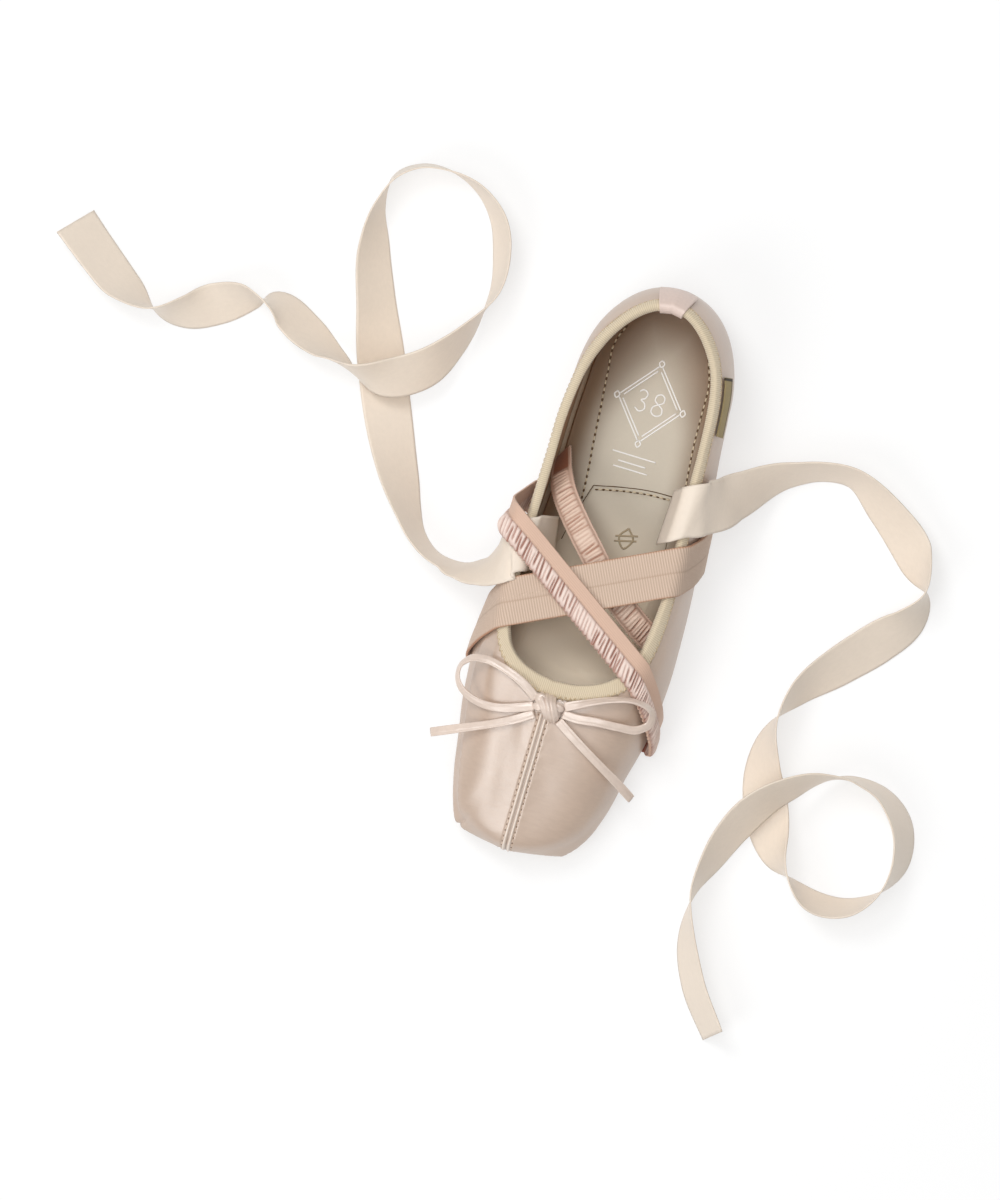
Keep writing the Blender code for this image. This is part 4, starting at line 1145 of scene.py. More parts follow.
class SHOE_OT_binding(Operator):
    """Make the knitted tape round the opening, with its zigzag stitch"""
    bl_idname = "shoe.binding"
    bl_label = "Binding"

    def execute(self, context):
        look = context.scene.shoe_binding
        places = ring_places(look.rib / MM / RIB_COLUMNS, outline_too=False)
        profile = fold_profile(BINDING_DEPTH, BINDING_DEPTH / 2, BINDING_GAP, BINDING_SKIN)
        points, outward = edge_band(places, profile, depth=binding_depth(places))
        phase = np.arange(len(places)) % RIB_COLUMNS
        rib = np.choose(phase, RIB_SHAPE)[:, None]
        show = profile[:, 2][None, :]
        wobble = BINDING_WOBBLE * np.sin(np.arange(len(places)) / 23.0)[:, None] * show
        relief = (rib - 0.5) * show * look.relief / MM + wobble
        surface = Surface("rib")
        # The rib mark paints highlight on the ribs and shade between them and on the hidden back, under the fold.
        surface.patch(points + outward * relief[:, :, None], endless=True, rib=rib * show)
        finish = knit_finish("knitted_tape", look.tape, look.shade)
        surface.build("binding_tape", finish, slot="knit_binding", replaces="topline_binding")
        make_zigzag(look)
        return {"FINISHED"}


def make_label(look):
    """The blank woven label on the outer side, sewn to the lower edge of the binding."""
    places = [(LATERAL, run) for run in np.linspace(*LABEL_RUNS, LABEL_COLUMNS)]
    share = np.linspace(0.0, 1.0, LABEL_ROWS)
    drop = BINDING_DEPTH - LABEL_OVERLAP + LABEL_HEIGHT * share
    out = BINDING_FACE + LABEL_GAP + LABEL_LIFT * share ** 0.8
    face = np.column_stack((drop, out))
    upper_face, _ = edge_band(places, face[::-1], closed=False)
    under_face, _ = edge_band(places, face - (0.0, LABEL_THICKNESS), closed=False)
    stripe = np.zeros((LABEL_COLUMNS, 2 * LABEL_ROWS))
    stripe[LABEL_END] = 1.0
    stripe[LABEL_LINES] = 0.6
    label = Surface("stripe")
    label.patch(np.concatenate((upper_face, under_face), axis=1), stripe=stripe)
    label.build("side_label", woven_finish("woven_label", look.label, look.label_end),
                slot="knit_binding")


class SHOE_OT_tab(Operator):
    """Make the grosgrain tab over the heel and the blank woven label at its side"""
    bl_idname = "shoe.tab"
    bl_label = "Heel tab and label"

    def execute(self, context):
        look = context.scene.shoe_binding
        places = [(LATERAL, run) for run in np.linspace(-TAB_RUN, TAB_RUN, TAB_COLUMNS)]
        profile = fold_profile(TAB_OUTSIDE, TAB_INSIDE, BINDING_FACE + BINDING_GAP, TAB_SKIN)
        profile = interpolate(np.linspace(0.0, 1.0, TAB_ROWS),
                              np.linspace(0.0, 1.0, len(profile)), profile)
        points, outward = edge_band(places, profile, closed=False)
        rib = 0.5 + 0.5 * np.cos(np.arange(TAB_ROWS) * 2 * math.pi / TAB_RIB_ROWS)[None, :]
        edge = np.abs(np.linspace(-1.0, 1.0, TAB_COLUMNS))[:, None]
        relief = (rib - 0.5) * TAB_RIB * profile[:, 2] + TAB_EDGE * hump(edge, 0.93, 0.05)
        surface = Surface()
        surface.patch(points + outward * relief[:, :, None])
        finish = satin_finish("tab_grosgrain", look.tab, roughness=0.42, slub=(1.0, 1.0, 0.3))
        surface.build("heel_tape", finish, slot="heel_tape", replaces="heel_tab")
        make_label(look)
        return {"FINISHED"}


# ---------------------------------------------------------------- sole and sock

SOCK_POINTS = (300, 110)    # along and across
SOCK_EDGE = 0.9             # radius of its rounded edge
ABOVE_SOCK = 40.0           # a height over every point of the sock
# painted shade: the sock is darker near its rim, where the walls shade it
RIM_SHADE_WIDTHS = (17.0, 38.0)   # width of the sock's darker rim at the waist and at the heel
RIM_SHADE_HEEL_Y = (60.0, 100.0)
RIM_SHADE_FRONT_Y = (-105.0, -55.0)
RIM_SHADE_STRENGTH = 0.95
# painted light: the sock is lightened towards the toe, where the vamp and straps keep the light from it
PAD_PAINTED_LIGHT_Y = (36.0, -24.0)  # the sock turns lighter towards the toe
SOLE_POINTS = (320, 90)
SOLE_INSET = 1.2            # from the outline of the upper
SOLE_EDGES = (1.0, 0.6)     # radii of its lower and upper edge
SOLE_GROOVE = 0.4           # depth of the groove along its edge
GROOVE_INSET = 3.6
TREAD_INSET = (5.0, 6.0)
TREAD_START_Y = (-28.0, -30.0)
TREAD_PITCH = 3.2
TREAD_DEPTH = 0.35
HEEL_POINTS = (110, 60)
HEEL_INSET = 1.6
HEEL_EDGES = (0.5, 0.3)
HEEL_FRONT_Y = 52.0
HEEL_LAYERS = ((0.0, 2.4), (2.5, 5.0), (5.1, 9.0))      # lower and upper height of each layer


def layer_grid(runs, across, inset, more_inset=lambda run: 0.0):
    """Plan positions [column, row] of a layer of the sole, and their distance from its edge."""
    shares = np.linspace(-1.0, 1.0, across)
    shares = np.sign(shares) * np.abs(shares) ** 0.8 * 0.5 + 0.5
    plan, edge = [], []
    for run in runs:
        depth = more_inset(run) + inset
        medial = outline(MEDIAL, run) + inward(MEDIAL, run) * depth
        lateral = outline(LATERAL, run) + inward(LATERAL, run) * depth
        plan.append(medial + (lateral - medial) * shares[:, None])
        edge.append(np.minimum(shares, 1.0 - shares) * np.linalg.norm(lateral - medial))
    plan, edge = np.array(plan), np.array(edge)
    ends = np.minimum(plan[:, :, 1].max() - plan[:, :, 1], plan[:, :, 1] - plan[:, :, 1].min())
    return plan, np.minimum(edge, np.maximum(ends, 0.0))


def rounded(distance, radius):
    """How far a rounded edge falls below its flat face at a distance from the edge."""
    t = np.clip(1.0 - distance / radius, 0.0, 1.0)
    return radius * (1.0 - np.sqrt(1.0 - t * t))


def layer(surface, plan, low, high, **marks):
    """Close a layer from its plan, its lower and its upper heights."""
    top = np.dstack((plan, high))
    bottom = np.dstack((plan, low))
    surface.patch(np.concatenate((bottom, top[:, ::-1]), axis=1), **marks)


def sole_runs(count):
    """Runs of the rows of a sole layer, closer together where its ends are round."""
    return 0.5 - 0.5 * np.cos(np.linspace(0.02, math.pi - 0.02, count))


# Rows of stitches on the sock, and the outline and the sewn edges of its pad: x and y in plan.
MEDIAL_STITCHES = [(-15.5, 102.0), (-18.5, 94.0), (-17.8, 80.0), (-16.3, 65.0), (-15.0, 50.0),
                   (-13.9, 40.0), (-13.0, 26.0)]
LATERAL_STITCHES = [(20.0, 101.0), (24.6, 87.0), (25.2, 75.0), (25.8, 62.0), (26.9, 50.0),
                    (28.0, 40.0), (28.6, 33.0)]
SOCK_STITCH = dict(radius=0.36, lift=0.1)
CROSS_STITCHES = [(-9.0, 32.0), (1.0, 34.4), (13.0, 36.3), (23.4, 36.8)]
PAD_STEP, PAD_LIP = 0.55, 0.18         # how deep the pad lies, and the swelling round it
CUP_WIDTH = 9.5
SOCK_DISH = 0.5             # how much lower its middle is
PAD = [(-9.6, 33.0), (24.6, 38.0), (27.2, 12.0), (22.0, -40.0), (2.0, -46.0), (-20.0, -40.0),
       (-20.5, 0.0)]
# The pad's edges are drawn as dark lines: its seam, darkened as painted shade under the pad's step.
PAD_EDGES = [
    [(-9.9, 33.4), (1.0, 35.9), (13.0, 37.9), (24.6, 38.4)],
    [(-9.9, 33.4), (-12.4, 25.0), (-14.9, 16.0), (-16.5, 8.0)],
    [(24.6, 38.4), (25.6, 29.0), (26.6, 20.0), (27.2, 12.0)],
]


def inside_by(plan, corners):
    """Distance of points inside a convex outline, below 0 outside it."""
    corners = np.array(corners)
    middle = corners.mean(axis=0)
    found = []
    for a, b in zip(corners, np.roll(corners, -1, axis=0)):
        normal = unit(np.array((-(b - a)[1], (b - a)[0])))
        normal = normal * np.sign(np.dot(middle - a, normal))
        found.append((plan - a) @ normal)
    return np.min(found, axis=0)


def sock_height(plan, edge, look):
    """The upper face of the sock: cupped at its edges, a little lower in the front pad."""
    y = plan[:, :, 1]
    base = sole_top(y) + GAP + INSOLE_THICKNESS
    cup = look.cup / MM * smoothstep(CUP_WIDTH, 0.0, edge) ** 1.6
    pad = inside_by(plan, PAD)
    step = PAD_LIP * hump(pad, -0.9, 0.6) - PAD_STEP * smoothstep(-0.35, 0.35, pad)
    return base + cup + step - SOCK_DISH * smoothstep(6.0, 24.0, edge)


def make_sock(look):
    """The sock leather; hands over its upper face, to be searched in the drawing frame."""
    rows, across = SOCK_POINTS
    plan, edge = layer_grid(sole_runs(rows), across, WALL + INSOLE_CLEARANCE, foot_inset)
    high = sock_height(plan, edge, look) - rounded(edge, SOCK_EDGE)
    y = plan[:, :, 1]
    low = sole_top(y) + GAP
    # The sock's marks paint light and shade: pad lightens it towards the toe, under the vamp, and rim darkens it near
    # its edge, where the walls shade it.
    waist, heel = RIM_SHADE_WIDTHS
    rim = smoothstep(waist + (heel - waist) * smoothstep(*RIM_SHADE_HEEL_Y, y), 0.0, edge)
    marks = {"pad": smoothstep(*PAD_PAINTED_LIGHT_Y, y),
             "rim": RIM_SHADE_STRENGTH * rim * smoothstep(*RIM_SHADE_FRONT_Y, y)}
    surface = Surface(*marks)
    layer(surface, plan, low, np.maximum(high, low + 0.3),
          **{name: np.hstack((np.zeros_like(mark), mark[:, ::-1])) for name, mark in marks.items()})
    leather = sock_finish("sock_leather", look.sock, look.pad, look.rim)
    surface.build("sock", leather, slot="sock_leather", replaces="insole")

    faces = quad_corners(np.arange(high.size).reshape(high.shape))
    return BVHTree.FromPolygons(np.dstack((plan, high)).reshape(-1, 3).tolist(), faces.tolist())


def on_sock(tree, points, spacing, lift=0.0):
    """A smooth line through points in plan, put down on the sock."""
    flat = np.column_stack((np.array(points, float), np.zeros(len(points))))
    found = []
    for x, y, _ in smooth_line(flat, spacing):
        hit = tree.ray_cast(Vector((x, y, ABOVE_SOCK)), Vector((0.0, 0.0, -1.0)))[0]
        found.append((x, y, hit.z + lift))
    return np.array(found)


class SHOE_OT_sock(Operator):
    """Make the sock leather with its stitches and a plain printed ornament"""
    bl_idname = "shoe.sock"
    bl_label = "Sock"

    def execute(self, context):
        look = context.scene.shoe_sole
        tree = make_sock(look)
        thread, holes, ink, mark = Surface(), Surface(), Surface(), Surface()
        for row, pitch in ((MEDIAL_STITCHES, 3.0), (LATERAL_STITCHES, 3.0), (CROSS_STITCHES, 2.9)):
            line = on_sock(tree, row, 1.0)
            up = upwards(line)
            sew(thread, line, up, pitch, length=pitch * 0.6, **SOCK_STITCH)
            pierce(holes, line, up, pitch, pitch / 2 - 0.65, half_length=0.7, half_width=0.5)
        for surface, rows, spacing, lift, half_width, half_height in (
            # the pad's edges go with the needle holes: dark lines of painted shade along the pad's step
            (holes, PAD_EDGES, 0.8, 0.0, 0.22, 0.1),
            (ink, ornament(), 0.6, 0.04, 0.33, 0.04),
            (mark, pad_mark(), 0.5, 0.05, 0.42, 0.3),
        ):
            for row in rows:
                line = on_sock(tree, row, spacing, lift)
                surface.patch(tube_grid(line, upwards(line), half_width, half_height, 6))
        printed = Finish("sock_print", Base_Color=(*look.print_colour, 1.0), Roughness=0.42)
        for surface, name, finish in (
            (thread, "sock_stitches", plain_finish("sock_thread", look.thread, 0.6)),
            (holes, "needle_holes", plain_finish("needle_hole", look.hole, 0.8)),
            (ink, "sock_ornament", printed.material),
            (mark, "pad_mark", plain_finish("pressed_leather", look.pressed, 0.5)),
        ):
            surface.build(name, finish, slot="sock_leather")
        return {"FINISHED"}


ORNAMENT_CENTRE = (3.0, 73.0)


def ornament():
    """Lines of the print: a double lozenge with small diamonds round a plain size number."""
    lines = []
    tips = np.array(((0.0, 17.0), (14.0, 0.0), (0.0, -17.0), (-14.0, 0.0)))
    for size in (1.0, 0.88):
        for a, b in zip(tips, np.roll(tips, -1, axis=0)):
            lines.append((a + (b - a) * np.linspace(0.05, 0.95, 4)[:, None]) * size)
    diamond = np.array(((0.0, 1.5), (1.1, 0.0), (0.0, -1.5), (-1.1, 0.0), (0.0, 1.5)))
    lines += [diamond + tip * 1.03 for tip in tips]
    three = [(-5.6, 3.9), (-3.9, 5.0), (-2.0, 3.8), (-2.6, 1.5), (-4.1, 0.6), (-2.4, -0.4),
             (-1.7, -2.6), (-3.7, -4.2), (-5.9, -3.0)]
    eight = [(3.5, 0.6), (1.7, 2.0), (2.2, 4.3), (3.7, 5.0), (5.2, 4.2), (5.4, 2.0), (3.5, 0.6),
             (1.5, -0.9), (1.4, -3.2), (3.6, -4.3), (5.7, -3.2), (5.5, -0.9), (3.6, 0.5)]
    lines += [np.array(three), np.array(eight)]
    lines += [np.array(((-half, y), (0.0, y), (half, y)))
              for half, y in ((9.5, -23.0), (6.0, -26.4), (7.5, -29.0))]
    return [line + np.array(ORNAMENT_CENTRE) for line in lines]


def pad_mark():
    """Lines pressed into the pad: a small lozenge with a bar through it."""
    lozenge = np.array(((0.0, 4.4), (3.0, 0.0), (0.0, -4.4), (-3.0, 0.0), (0.0, 4.4)))
    bars = [np.array(((-4.6, y - 1.2), (0.0, y), (4.6, y + 1.2))) for y in (-1.1, 1.1)]
    return [line + np.array((9.5, 16.0)) for line in (lozenge, *bars)]


class SHOE_OT_sole(Operator):
    """Make the outsole with its fine tread and the stacked heel"""
    bl_idname = "shoe.sole"
    bl_label = "Outsole and heel"

    def execute(self, context):
        look = context.scene.shoe_sole
        rows, across = SOLE_POINTS
        plan, edge = layer_grid(sole_runs(rows), across, SOLE_INSET)
        y = plan[:, :, 1]
        ribs = 0.5 + 0.5 * np.cos(y * 2.0 * math.pi / TREAD_PITCH)
        forefoot = smoothstep(*TREAD_INSET, edge) * smoothstep(*TREAD_START_Y, y)
        groove = SOLE_GROOVE * hump(edge, GROOVE_INSET, 0.5) + forefoot * (1.0 - ribs) * TREAD_DEPTH
        low = sole_underside(y) + rounded(edge, SOLE_EDGES[0]) + groove
        high = sole_top(y) - rounded(edge, SOLE_EDGES[1])
        surface = Surface()
        layer(surface, plan, low, high)
        finish = plain_finish("sole_rubber", look.rubber, 0.62, grain=2200.0)
        surface.build("rubber_outsole", finish, slot="sole_rubber", replaces="outsole")

        reach = (HEEL_ARC_Y - HEEL_FRONT_Y) / (HEEL_ARC_Y - CORNER_Y)
        heel_run = HEEL_RUN + (CORNER_RUN - HEEL_RUN) * reach
        rows, across = HEEL_POINTS
        runs = 0.5 * heel_run * (1.0 - np.cos(np.linspace(0.03, math.pi, rows)))
        plan, edge = layer_grid(runs, across, HEEL_INSET)
        y = plan[:, :, 1]
        ceiling = sole_underside(y) - GAP
        surface = Surface()
        for low, high in HEEL_LAYERS:
            bottom = low + rounded(edge, HEEL_EDGES[0])
            top = np.minimum(high - rounded(edge, HEEL_EDGES[1]), ceiling)
            layer(surface, plan, np.minimum(bottom, top - 0.2), top)
        finish = plain_finish("heel_stack", look.stack, 0.55)
        surface.build("stacked_heel", finish, slot="heel_stack", replaces="heel")
        return {"FINISHED"}


# ---------------------------------------------------------------- elastics

# Each strap's middle in plan, angle in plan, width, drift along the shoe per drop, the height of
# its ends over the sole, and x, z of what else holds it up.
GROSGRAIN = dict(middle=(3.0, -8.2), angle=26.8, width=20.0, drift=0.30, end_height=3.4, props=())
RUCHED = dict(middle=(2.8, -16.9), angle=-34.0, width=12.9, drift=0.42, end_height=3.6,
              props=((-28.4, 49.4), (-34.4, 48.4), (-37.6, 42.0)))
GROSGRAIN_POINTS, RUCHED_POINTS = (481, 41), (781, 45)      # along and across
ELASTIC_THICKNESS = 0.9
STRAP_REACH = 62.0
STRAP_TOP = 44.0            # a strap starts to drift along the shoe below this height
STRAP_LINES = 17
STRAP_CLEARANCE = 0.75
SLICE = 1.0                 # half the width of the slice of the shoe that holds one line up
SHELL_CLEARANCE = 0.15
PUSHED_FROM = (1.0, 4.0)    # heights over the sole from which a strap is kept out of the upper
PUSHED_TO = (34.0, 26.0)    # and heights up to which it is
CREASE = 0.19               # half width of a crease in gathered cloth, as a share of its pitch
CREASE_DEPTHS = (1.0, 0.8, 0.45)
RUCHE_MIDDLE, RUCHE_HALF = -0.215, 0.27      # of the ruche, as shares of the elastic's width
BAND_RIBS = 15              # fine ribs to the width of the ruched elastic
BAND_RIB, BAND_EDGE = 0.06, 0.3         # height of these ribs and depth of the band's edge
RAW_END = (1.8, 0.9)        # how far the cut ends are discoloured
RUCHE_SEED, PLEAT_SEED = 5, 8
GROSGRAIN_RIB, GROSGRAIN_LINE, GROSGRAIN_EDGE = 0.24, 0.16, 0.25      # heights and depths
PLEATED_WIDTH = 11.5
PLEAT_PITCH = 1.7
PLEAT_HEIGHT = 1.25
PLEATED = np.array([
    # x,     y,     lift,  roll,  skew
    (-25.5,  43.0,  15.0,  62.0,   0.0),
    (-23.5,  35.0,  22.0,  42.0,   0.0),
    (-19.0,  26.5,  31.5,  18.0,   0.0),
    (-11.0,  17.0,  38.0,   6.0,   0.0),
    (0.0,     5.5,  41.0,   0.0,   0.0),
    (10.0,   -5.0,  41.0,   0.0,   0.0),
    (20.0,  -13.0,  39.0,   0.0,   0.0),
    (28.0,  -18.5,  35.0,   0.0,   0.0),
    (34.0,  -22.0,  31.0,   0.0,   0.0),
])


def points_of(*pieces):
    """All points of some pieces in the drawing frame."""
    found = []
    for piece in pieces:
        mesh = piece.data
        points = np.empty(3 * len(mesh.vertices))
        mesh.vertices.foreach_get("co", points)
        matrix = np.array(piece.matrix_world)
        points = points.reshape(-1, 3) @ matrix[:3, :3].T + matrix[:3, 3]
        found.append(points / MM + DRAWING_ZERO)
    return np.vstack(found)


def convex_hull(points):
    """The corners of the convex hull of flat points, counter-clockwise."""
    ordered = sorted(map(tuple, points))

    def chain(sequence):
        kept = []
        for x, z in sequence:
            while len(kept) > 1:
                (ax, az), (bx, bz) = kept[-2:]
                if (bx - ax) * (z - az) - (bz - az) * (x - ax) > 0.0:
                    break
                kept.pop()
            kept.append((x, z))
        return kept[:-1]

    return np.array(chain(ordered) + chain(ordered[::-1]))


def taut_line(points, clearance, count):
    """An elastic pulled tight over flat points, from its low end on the left to that on the right."""
    turns = np.linspace(0.0, 2 * math.pi, 12, endpoint=False)
    ring = np.column_stack((np.cos(turns), np.sin(turns))) * clearance
    hull = convex_hull((points[:, None, :] + ring[None, :, :]).reshape(-1, 2))[::-1]
    middle = hull[:, 0].mean()
    left = min((i for i in range(len(hull)) if hull[i, 0] < middle), key=lambda i: hull[i, 1])
    hull = np.roll(hull, -left, axis=0)
    right = min((i for i in range(len(hull)) if hull[i, 0] > middle), key=lambda i: hull[i, 1])
    line = hull[:right + 1]
    return along_line(line, np.linspace(0.0, lengths(line)[-1], count))


def soften(values, passes):
    """Average each row of points with its neighbours, ends kept."""
    for _ in range(passes):
        values[1:-1] = 0.25 * values[:-2] + 0.5 * values[1:-1] + 0.25 * values[2:]
    return values


def push_clear(grid, shell):
    """Move the points of a sheet's lower ends that lie inside the shell out of it."""
    for line in grid:
        for k, point in enumerate(line):
            lift = point[2] - sole_top(point[1])
            share = smoothstep(*PUSHED_FROM, lift) * smoothstep(*PUSHED_TO, point[2])
            place, normal, _, _ = shell.find_nearest(Vector(point))
            depth = (Vector(point) - place).dot(normal)
            if depth < SHELL_CLEARANCE:
                line[k] = point + np.array(normal) * (SHELL_CLEARANCE - depth) * share
    return grid


def satin_side(upper):
    """The outer side of the upper, to be searched in the drawing frame."""
    faces = [tuple(face.vertices) for face in upper.data.polygons if face.material_index == 0]
    return BVHTree.FromPolygons([tuple(point) for point in points_of(upper)], faces)


def strap_sheet(strap, pieces, columns, rows):
    """Points[column, row] of the underside of an elastic pulled over the given pieces."""
    angle = math.radians(strap["angle"])
    direction = np.array((math.cos(angle), math.sin(angle)))
    across = np.array((-direction[1], direction[0]))
    middle = np.array(strap["middle"])
    solid = points_of(*pieces)
    grid = []
    for offset in np.linspace(-0.5, 0.5, STRAP_LINES) * strap["width"]:
        origin = middle + across * offset
        near = solid[np.abs((solid[:, :2] - origin) @ across) < SLICE]
        flat = np.column_stack(((near[:, :2] - origin) @ direction, near[:, 2]))
        ground = sole_top(origin[1] + flat[:, 0] * direction[1])
        flat = flat[(flat[:, 1] > ground + strap["end_height"]) & (np.abs(flat[:, 0]) < STRAP_REACH)]
        for x, z in strap["props"]:
            flat = np.vstack((flat, ((x - origin[0]) / direction[0], z)))
        line = taut_line(flat, STRAP_CLEARANCE, count=160)
        drop = np.clip(STRAP_TOP - line[:, 1], 0.0, None) * strap["drift"] * math.copysign(1.0, angle)
        y = origin[1] + line[:, 0] * direction[1] + drop * np.sign(line[:, 0])
        grid.append(np.column_stack((origin[0] + line[:, 0] * direction[0], y, line[:, 1])))
    shell = satin_side(pieces[0])
    grid = soften(np.array(grid).transpose(1, 0, 2), passes=4)
    grid = push_clear(soften(grid.transpose(1, 0, 2), passes=3), shell).transpose(1, 0, 2)
    return refine(grid, columns, rows)


def from_middle(grid, strap):
    """Distance of each point from the strap's middle, along its own line of the strap."""
    angle = math.radians(strap["angle"])
    flat = (grid[:, :, :2] - strap["middle"]) @ (math.cos(angle), math.sin(angle))
    along = np.array([lengths(grid[:, row]) for row in range(grid.shape[1])]).T
    after = np.argmax(flat > 0.0, axis=0)
    row = np.arange(grid.shape[1])
    share = flat[after, row] / (flat[after, row] - flat[after - 1, row])
    return along - along[after, row] + share * (along[after, row] - along[after - 1, row])


def elastic(middle, normals, relief, **marks):
    """An elastic closed round its middle sheet, with the relief and the marks of its upper face."""
    surface = Surface(*marks)
    full = {name: both_faces(np.broadcast_to(mark, middle.shape[:2])) for name, mark in marks.items()}
    surface.patch(strip_ring(middle, normals, ELASTIC_THICKNESS, relief), **full)
    return surface


def laid_elastic(grid, relief, **marks):
    """An elastic that lies on its underside grid."""
    normals = surface_normals(grid, closed=False)
    return elastic(grid + normals * ELASTIC_THICKNESS / 2, normals, relief, **marks)


def gathers(along, across, pitch, half, slant, lively, seed):
    """Height 0 to 1 of gathered cloth: a soft roll pinched by deep and shallow creases."""
    random = np.random.default_rng(seed)
    height = np.sqrt(np.clip(1.0 - (across / half) ** 4, 0.0, 1.0))
    at = float(along.min())
    while at < float(along.max()):
        lean = slant + 0.25 * lively * random.uniform(-1.0, 1.0)
        depth = random.choice(CREASE_DEPTHS)
        off = (along + lean * across - at) / (CREASE * pitch * (0.75 + 0.5 * depth))
        middle = half * lively * random.choice((-1.0, 0.0, 1.0))
        window = smoothstep(1.35, 0.7, np.abs(across - middle) / half)
        height = height * (1.0 - depth * np.exp(-off ** 2) * window)
        at += pitch * random.uniform(1.0 - 0.7 * lively, 1.0 + 0.7 * lively)
    return height


def scallop(grid, edge, along, pitch, reach):
    """Push the edge of an elastic outwards in small loops; edge is its distance to either side."""
    outward = unit(np.gradient(grid, axis=1))
    loops = np.abs(np.sin(math.pi * along / pitch)) ** 0.7
    return grid + outward * (np.sign(edge) * smoothstep(0.4, 0.5, np.abs(edge)) * loops * reach)[..., None]


def laid_strap(strap, pieces, points):
    """The underside of a strap, the distance along it from its middle, and the share across it."""
    grid = strap_sheet(strap, pieces, *points)
    return grid, from_middle(grid, strap), np.linspace(-0.5, 0.5, grid.shape[1])[None, :]


def make_ribbed(look, shoe):
    """The ribbed elastic, pulled over the opening."""
    grid, along, share = laid_strap(GROSGRAIN, shoe, GROSGRAIN_POINTS)
    rib = 0.5 + 0.5 * np.cos(2 * math.pi * along / (look.rib / MM))
    groove = hump(share, -0.02, 0.018)
    edge = smoothstep(0.468, 0.49, np.abs(share))
    relief = rib * GROSGRAIN_RIB - groove * GROSGRAIN_LINE
    relief = relief - smoothstep(0.47, 0.5, np.abs(share)) * GROSGRAIN_EDGE
    # The rib mark paints highlight on the ribs and shade between them and in the middle groove; edge paints shade
    # along both edges.
    surface = laid_elastic(grid, relief, rib=rib * (1.0 - 0.6 * groove), edge=edge)
    return surface.build("ribbed_elastic", grosgrain_finish("grosgrain", look),
                         slot="grosgrain_elastic", replaces="strap_grosgrain")


def make_ruched(look, under):
    """The ruched elastic, pulled over what lies under it."""
    grid, along, share = laid_strap(RUCHED, under, RUCHED_POINTS)
    ruche = smoothstep(-0.5, -0.48, share) * smoothstep(0.05, 0.02, share)
    fold = gathers(along, (share - RUCHE_MIDDLE) * RUCHED["width"], look.gather / MM,
                   RUCHE_HALF * RUCHED["width"], slant=0.55, lively=0.5, seed=RUCHE_SEED)
    relief = ruche * (fold * look.puff / MM + 0.05)
    band = (1.0 - ruche) * (BAND_RIB * np.cos(2 * math.pi * share * BAND_RIBS))
    rim = -BAND_EDGE * smoothstep(0.47, 0.5, share)
    grid = scallop(grid, np.minimum(share, 0.0), along, pitch=1.4 * look.gather / MM, reach=0.8)
    raw = smoothstep(*RAW_END, np.minimum(along - along.min(axis=0), along.max(axis=0) - along))
    # The fold mark paints highlight on the crests of the ruche and shade between them.
    surface = laid_elastic(grid, relief + band + rim, fold=fold, ruche=ruche, raw=raw)
    surface.build("ruched_elastic", ruched_finish("ruched_elastic", look),
                  slot="peach_elastic", replaces="strap_ruched")


def make_pleated(look):
    """The pleated elastic inside the shoe."""
    middle, lean = ribbon_lines(PLEATED, PLEATED_WIDTH, spacing=0.4)
    share = np.linspace(0.5, -0.5, 31)[None, :]
    sheet = middle[:, None, :] + lean[:, None, :] * share[:, :, None] * PLEATED_WIDTH
    along = lengths(middle)[:, None]
    fold = gathers(along, share * PLEATED_WIDTH, PLEAT_PITCH, PLEATED_WIDTH * 0.4,
                   slant=0.12, lively=0.35, seed=PLEAT_SEED)
    body = 1.0 - smoothstep(0.4, 0.43, np.abs(share))
    start = smoothstep(9.0, 13.0, along)
    relief = body * start * (0.2 + fold * PLEAT_HEIGHT)
    flat = 0.6 * smoothstep(0.34, 0.39, np.abs(share))
    sheet = scallop(sheet, share, along, pitch=1.3, reach=0.4)
    normals = surface_normals(sheet, closed=False)
    normals = normals * np.sign(normals[:, :, 2:].mean())
    # The fold mark paints highlight on the pleats and shade between them.
    surface = elastic(sheet, normals, relief, fold=np.maximum(body * start * fold, flat))
    surface.build("pleated_elastic", fold_finish("pleated_elastic", look.pleat, look.pleat_painted_shade),
                  slot="pleated_elastic", replaces="strap_pleated")


class SHOE_OT_elastics(Operator):
    """Make the ribbed, the ruched and the inner pleated elastic"""
    bl_idname = "shoe.elastics"
    bl_label = "Elastics"

    def execute(self, context):
        look = context.scene.shoe_elastic
        shoe = [bpy.data.objects["satin_upper"], bpy.data.objects["binding_tape"]]
        ribbed = make_ribbed(look, shoe)
        make_ruched(look, shoe + [ribbed, bpy.data.objects["ankle_ribbon_medial"]])
        make_pleated(look)
        return {"FINISHED"}


# ---------------------------------------------------------------- ribbons and bow

